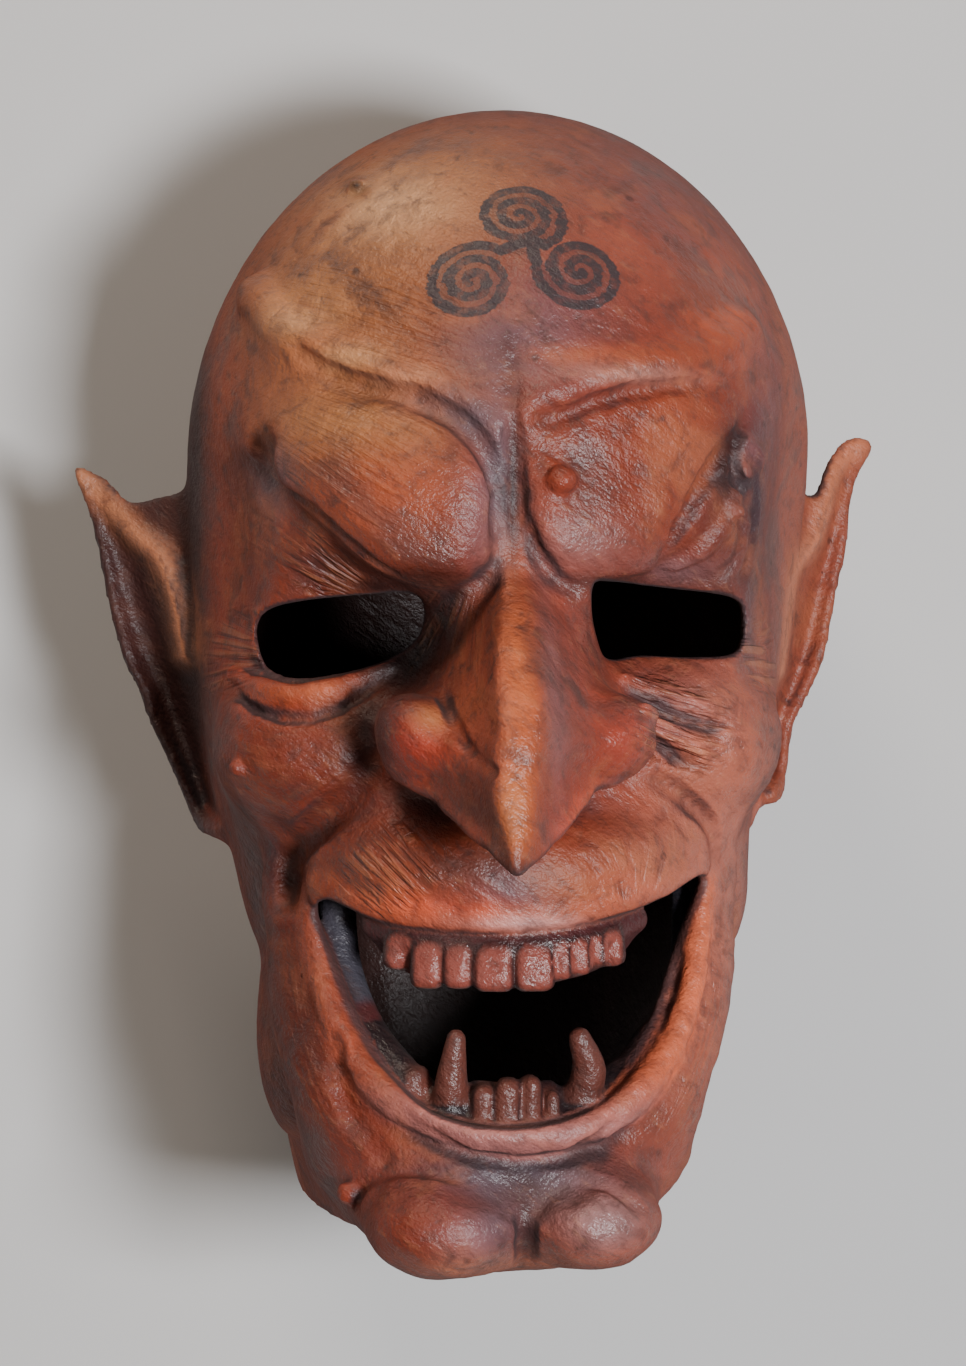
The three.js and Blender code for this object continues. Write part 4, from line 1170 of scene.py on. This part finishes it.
class Nodes:
    """A short way to lay out a material's nodes."""

    def __init__(self, name):
        self.material = bpy.data.materials.new(name)
        self.material.use_nodes = True
        self.tree = self.material.node_tree
        self.tree.nodes.clear()

    def add(self, kind, settings=None, **inputs):
        node = self.tree.nodes.new(kind)
        for key, value in (settings or {}).items():
            setattr(node, key, value)
        for key, value in inputs.items():
            socket = node.inputs[int(key[1:]) if key[1:].isdigit() else key.replace("_", " ")]
            if isinstance(value, bpy.types.NodeSocket):
                self.tree.links.new(value, socket)
            else:
                socket.default_value = value
        return node

    def math(self, operation, a, b=0.0, c=0.0, clamp=False):
        node = self.add("ShaderNodeMath", {"operation": operation, "use_clamp": clamp}, i0=a, i1=b, i2=c)
        return node.outputs[0]

    def plus(self, a, b):
        return self.math("ADD", a, b)

    def minus(self, a, b):
        return self.math("SUBTRACT", a, b)

    def times(self, a, b):
        return self.math("MULTIPLY", a, b)

    def attribute(self, name, output="Fac"):
        return self.add("ShaderNodeAttribute", {"attribute_name": name}).outputs[output]

    def mix(self, a, b, share, blend="MIX"):
        node = self.add("ShaderNodeMix", {"data_type": "RGBA", "blend_type": blend}, i0=share, i6=a, i7=b)
        return node.outputs[2]

    def noise(self, at, scale, detail=3.0, rough=0.55, distortion=0.0):
        return self.add("ShaderNodeTexNoise", None, Vector=at, Scale=scale, Detail=detail, Roughness=rough,
                        Distortion=distortion).outputs["Fac"]

    def ramp(self, value, low, high, out_low=0.0, out_high=1.0):
        node = self.add("ShaderNodeMapRange", {"interpolation_type": "SMOOTHSTEP"}, i0=value, i1=low, i2=high,
                        i3=out_low, i4=out_high)
        return node.outputs[0]

    def mapping(self, at, scale=(1, 1, 1), turn=(0, 0, 0)):
        return self.add("ShaderNodeMapping", None, Vector=at, Scale=scale, Rotation=turn).outputs[0]


# The sign: each spiral's middle, radius and the angle of its outer end, in the flat forehead's millimetres
SPIRALS = [((2.3, 66.5), 12.2, -60), ((-11.1, 45.2), 12, 50), ((17.3, 48.5), 11.8, 170)]
SIGN_CENTRE = (4.6, 57.8)
STROKE, STROKE_EDGE, TURN = 3.0, 0.25, 4.5
SMEAR = 0.42
WOBBLE_SCALE, WOBBLE = 0.45, 3.2


def length(n, x, y):
    return n.math("SQRT", n.plus(n.times(x, x), n.times(y, y)))


def spiral(n, u, v, middle, radius, start):
    """A line that winds inward, with ink smeared between its turns."""
    dx, dy = n.minus(u, middle[0]), n.minus(v, middle[1])
    turns = n.math("DIVIDE", n.math("ARCTAN2", dy, dx), 2 * math.pi)
    turned = n.math("FRACT", n.plus(turns, 1 - start / 360))
    gap = n.minus(n.minus(radius, n.times(turned, TURN)), length(n, dx, dy))
    near = n.math("ABSOLUTE", n.math("WRAP", gap, TURN / 2, -TURN / 2))
    stroke = n.ramp(near, STROKE / 2 + STROKE_EDGE, STROKE / 2 - STROKE_EDGE)
    within = n.ramp(gap, -STROKE / 2 - STROKE_EDGE, -STROKE / 2 + STROKE_EDGE)
    return n.times(n.math("MAXIMUM", stroke, SMEAR), within)


def spoke(n, u, v, middle, radius, start):
    """A bar from the middle of the sign to the outer end of a spiral."""
    x = middle[0] + radius * math.cos(math.radians(start)) - SIGN_CENTRE[0]
    y = middle[1] + radius * math.sin(math.radians(start)) - SIGN_CENTRE[1]
    px, py = n.minus(u, SIGN_CENTRE[0]), n.minus(v, SIGN_CENTRE[1])
    t = n.math("DIVIDE", n.plus(n.times(px, x), n.times(py, y)), x * x + y * y, clamp=True)
    gap = length(n, n.minus(px, n.times(t, x)), n.minus(py, n.times(t, y)))
    return n.ramp(gap, STROKE / 2 + 0.6, STROKE / 2)


def sign_mask(n):
    """Three linked spirals, in the flat coordinates of the forehead."""
    flat = n.attribute("sign", "Vector")
    u, v, shown = n.add("ShaderNodeSeparateXYZ", None, Vector=flat).outputs
    u = n.plus(u, n.times(n.minus(n.noise(flat, WOBBLE_SCALE, 2.0), 0.5), WOBBLE))
    total = 0.0
    for row in SPIRALS:
        for form in (spiral, spoke):
            total = n.math("MAXIMUM", total, form(n, u, v, *row))
    return n.times(total, shown)


# Noises of the paint: scale, detail, roughness and distortion
MOTTLE = (34.0, 4.0, 0.6, 0.4)
BLOTCH = (120.0, 4.0, 0.65, 0.6)
FINE = (260.0, 3.0, 0.6)
GRAIN = (900.0, 2.0, 0.6)
STREAK = (1.0, 4.0, 0.62)
STREAK_TURN, STREAK_SCALE = math.radians(38), (150, 400, 220)
LINES = (0.95, 2.0, 0.45, 0.2)
SPOTS_SCALE = 95.0

# Tones that the noises lay over the paint
WARM = (0.35, 0.1, 0.043, 1)
DULL = (0.07, 0.034, 0.031, 1)
BLOTTED = (0.045, 0.022, 0.02, 1)
BRUSHED = (0.48, 0.2, 0.1, 1)
STREAKED = (0.05, 0.025, 0.022, 1)
SPECK = (0.03, 0.015, 0.014, 1)
FURROW = (0.035, 0.018, 0.017, 1)
CREST = (0.5, 0.2, 0.09, 1)
LIGHTER = (2.5, 2.3, 2.1, 1)
WASH = (0.032, 0.022, 0.025, 1)
INK = (0.042, 0.03, 0.032, 1)
SPECULAR = 0.38
BUMP_STRENGTH, BUMP_HEIGHT = 0.7, 0.0013


def latex_material():
    n = Nodes("painted_latex")
    at = n.add("ShaderNodeTexCoord").outputs["Object"]
    streak = n.noise(n.mapping(n.mapping(at, turn=(0, 0, STREAK_TURN)), STREAK_SCALE), *STREAK)
    mottle, blotch, fine, grain = (n.noise(at, *look) for look in (MOTTLE, BLOTCH, FINE, GRAIN))
    wash, ridge, teeth_part = (n.attribute(name) for name in ("wash", "ridge", "teeth"))
    painted = n.attribute("paint", "Color")

    # Bare skin is neither tooth, inside nor the darkest paint
    bare = n.math("SUBTRACT", 1, n.math("MAXIMUM", teeth_part, n.attribute("inside")), clamp=True)
    tone = n.add("ShaderNodeRGBToBW", None, Color=painted).outputs[0]
    bare = n.times(bare, n.ramp(tone, 0.01, 0.045))
    colour = n.mix(painted, WARM, n.times(n.ramp(mottle, 0.5, 0.7, 0, 0.45), bare))
    colour = n.mix(colour, DULL, n.ramp(mottle, 0.5, 0.3, 0, 0.55))
    colour = n.mix(colour, BLOTTED, n.ramp(blotch, 0.5, 0.3, 0, 0.5))
    colour = n.mix(colour, BRUSHED, n.times(n.ramp(streak, 0.54, 0.76, 0, 0.18), bare))
    colour = n.mix(colour, STREAKED, n.ramp(streak, 0.46, 0.3, 0, 0.4))
    spots = n.add("ShaderNodeTexVoronoi", None, Vector=at, Scale=SPOTS_SCALE).outputs["Distance"]
    colour = n.mix(colour, SPECK, n.times(n.ramp(spots, 0.16, 0.06), n.ramp(blotch, 0.62, 0.42, 0, 0.6)))

    # Wrinkles, rubbed ridges, washed hollows and the sign
    set_of = n.add("ShaderNodeSeparateXYZ", None, Vector=n.attribute("wrinkles", "Vector"))
    across, along, strength = set_of.outputs
    sheet = n.add("ShaderNodeCombineXYZ", None, X=across, Y=along, Z=n.times(across, 0.37)).outputs[0]
    lines = n.noise(sheet, *LINES)
    furrow = n.times(n.ramp(lines, 0.5, 0.36), strength)
    crest = n.times(n.ramp(lines, 0.52, 0.66), strength)
    colour = n.mix(colour, FURROW, n.times(furrow, 0.6))
    colour = n.mix(colour, CREST, n.times(crest, 0.3))
    lighter = n.mix(painted, LIGHTER, 1.0, "MULTIPLY")
    colour = n.mix(colour, lighter, n.times(ridge, n.ramp(fine, 0.3, 0.7, 0.15, 0.6)))
    wash_share = n.ramp(n.plus(wash, n.times(n.minus(fine, 0.5), 0.4)), 0.15, 0.9, 0, 0.82)
    colour = n.mix(colour, WASH, wash_share)
    colour = n.mix(colour, INK, n.times(sign_mask(n), n.ramp(fine, 0.3, 0.55, 0.6, 0.97)))

    height = n.minus(crest, furrow)
    for part, share in ((fine, 0.35), (grain, 0.4), (streak, 0.8), (blotch, 0.6)):
        height = n.plus(height, n.times(part, share))
    bump = n.add("ShaderNodeBump", None, Strength=BUMP_STRENGTH, Distance=BUMP_HEIGHT, Height=height)
    rough = n.ramp(mottle, 0.3, 0.7, 0.33, 0.5)
    for part, share in ((wash, 0.15), (teeth_part, -0.1), (n.attribute("flank"), 0.45)):
        rough = n.plus(rough, n.times(part, share))
    shader = n.add("ShaderNodeBsdfPrincipled", None, Base_Color=colour, Roughness=rough,
                   Normal=bump.outputs[0])
    shader.inputs["Specular IOR Level"].default_value = SPECULAR
    n.add("ShaderNodeOutputMaterial", None, Surface=shader.outputs[0])
    return n.material


mask_mesh.materials.clear()
mask_mesh.materials.append(latex_material())
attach(mask, "root")
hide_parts("orc_mask")


# Stage, lights and camera


FLOOR_REACH = 3.0
FLOOR_COLOUR, FLOOR_ROUGH = (0.6, 0.59, 0.58, 1), 0.85
LIGHTS_AIM = Vector((0, 0, 0.15))

# Soft lights: place, power, size and tint
LIGHTS = {
    "key": ((0.34, -0.1, 1.25), 21, 0.22, (0.96, 0.97, 1.0)),
    "warm": ((-0.5, 1.4, 0.8), 12, 0.35, (1.0, 0.86, 0.71)),
    "fill": ((-0.8, -0.1, 1.0), 1.6, 0.5, (1.0, 0.9, 0.8)),
}
WORLD_STRENGTH = 0.07


def floor_piece():
    corners = [(x * FLOOR_REACH, y * FLOOR_REACH, 0) for x, y in ((-1, -1), (1, -1), (1, 1), (-1, 1))]
    mesh = bpy.data.meshes.new("floor")
    mesh.from_pydata(corners, [], [(0, 1, 2, 3)])
    n = Nodes("floor_paint")
    shader = n.add("ShaderNodeBsdfPrincipled", None, Base_Color=FLOOR_COLOUR, Roughness=FLOOR_ROUGH)
    n.add("ShaderNodeOutputMaterial", None, Surface=shader.outputs[0])
    mesh.materials.append(n.material)
    obj = bpy.data.objects.new("floor", mesh)
    bpy.context.scene.collection.objects.link(obj)
    return obj


def area_light(name, at, power, size, tint):
    light = bpy.data.lights.new(name, "AREA")
    light.energy, light.size, light.color = power, size, tint
    obj = bpy.data.objects.new(name, light)
    obj.location = at
    obj.rotation_mode = "QUATERNION"
    obj.rotation_quaternion = (LIGHTS_AIM - Vector(at)).to_track_quat("-Z", "Y")
    bpy.context.scene.collection.objects.link(obj)


floor_piece()
for name, look in LIGHTS.items():
    area_light(name, *look)

world = bpy.data.worlds.new("studio")
world.use_nodes = True
backdrop = world.node_tree.nodes["Background"]
backdrop.inputs["Color"].default_value = (1, 1, 1, 1)
backdrop.inputs["Strength"].default_value = WORLD_STRENGTH
bpy.context.scene.world = world

# The camera looks down at the face from a metre, a little from the left
CAMERA_YAW = 5
CAMERA_AIM = (np.array([-8.2, 0, 190]) + FRAME_SHIFT) * MM
CAMERA_DISTANCE = 1.0
PIXELS_PER_RADIAN = 3800
IMAGE_HEIGHT = 1366
SENSOR = 36


def camera():
    data = bpy.data.cameras.new("camera")
    data.sensor_fit = "VERTICAL"
    data.sensor_height = SENSOR
    data.lens = PIXELS_PER_RADIAN / IMAGE_HEIGHT * SENSOR
    obj = bpy.data.objects.new("camera", data)
    yaw = math.radians(CAMERA_YAW)
    back = Vector((-math.sin(yaw), 0, math.cos(yaw)))
    obj.matrix_world = Matrix.Rotation(-yaw, 4, "Y")
    obj.location = Vector(CAMERA_AIM) + back * CAMERA_DISTANCE
    bpy.context.scene.collection.objects.link(obj)
    bpy.context.scene.camera = obj


camera()
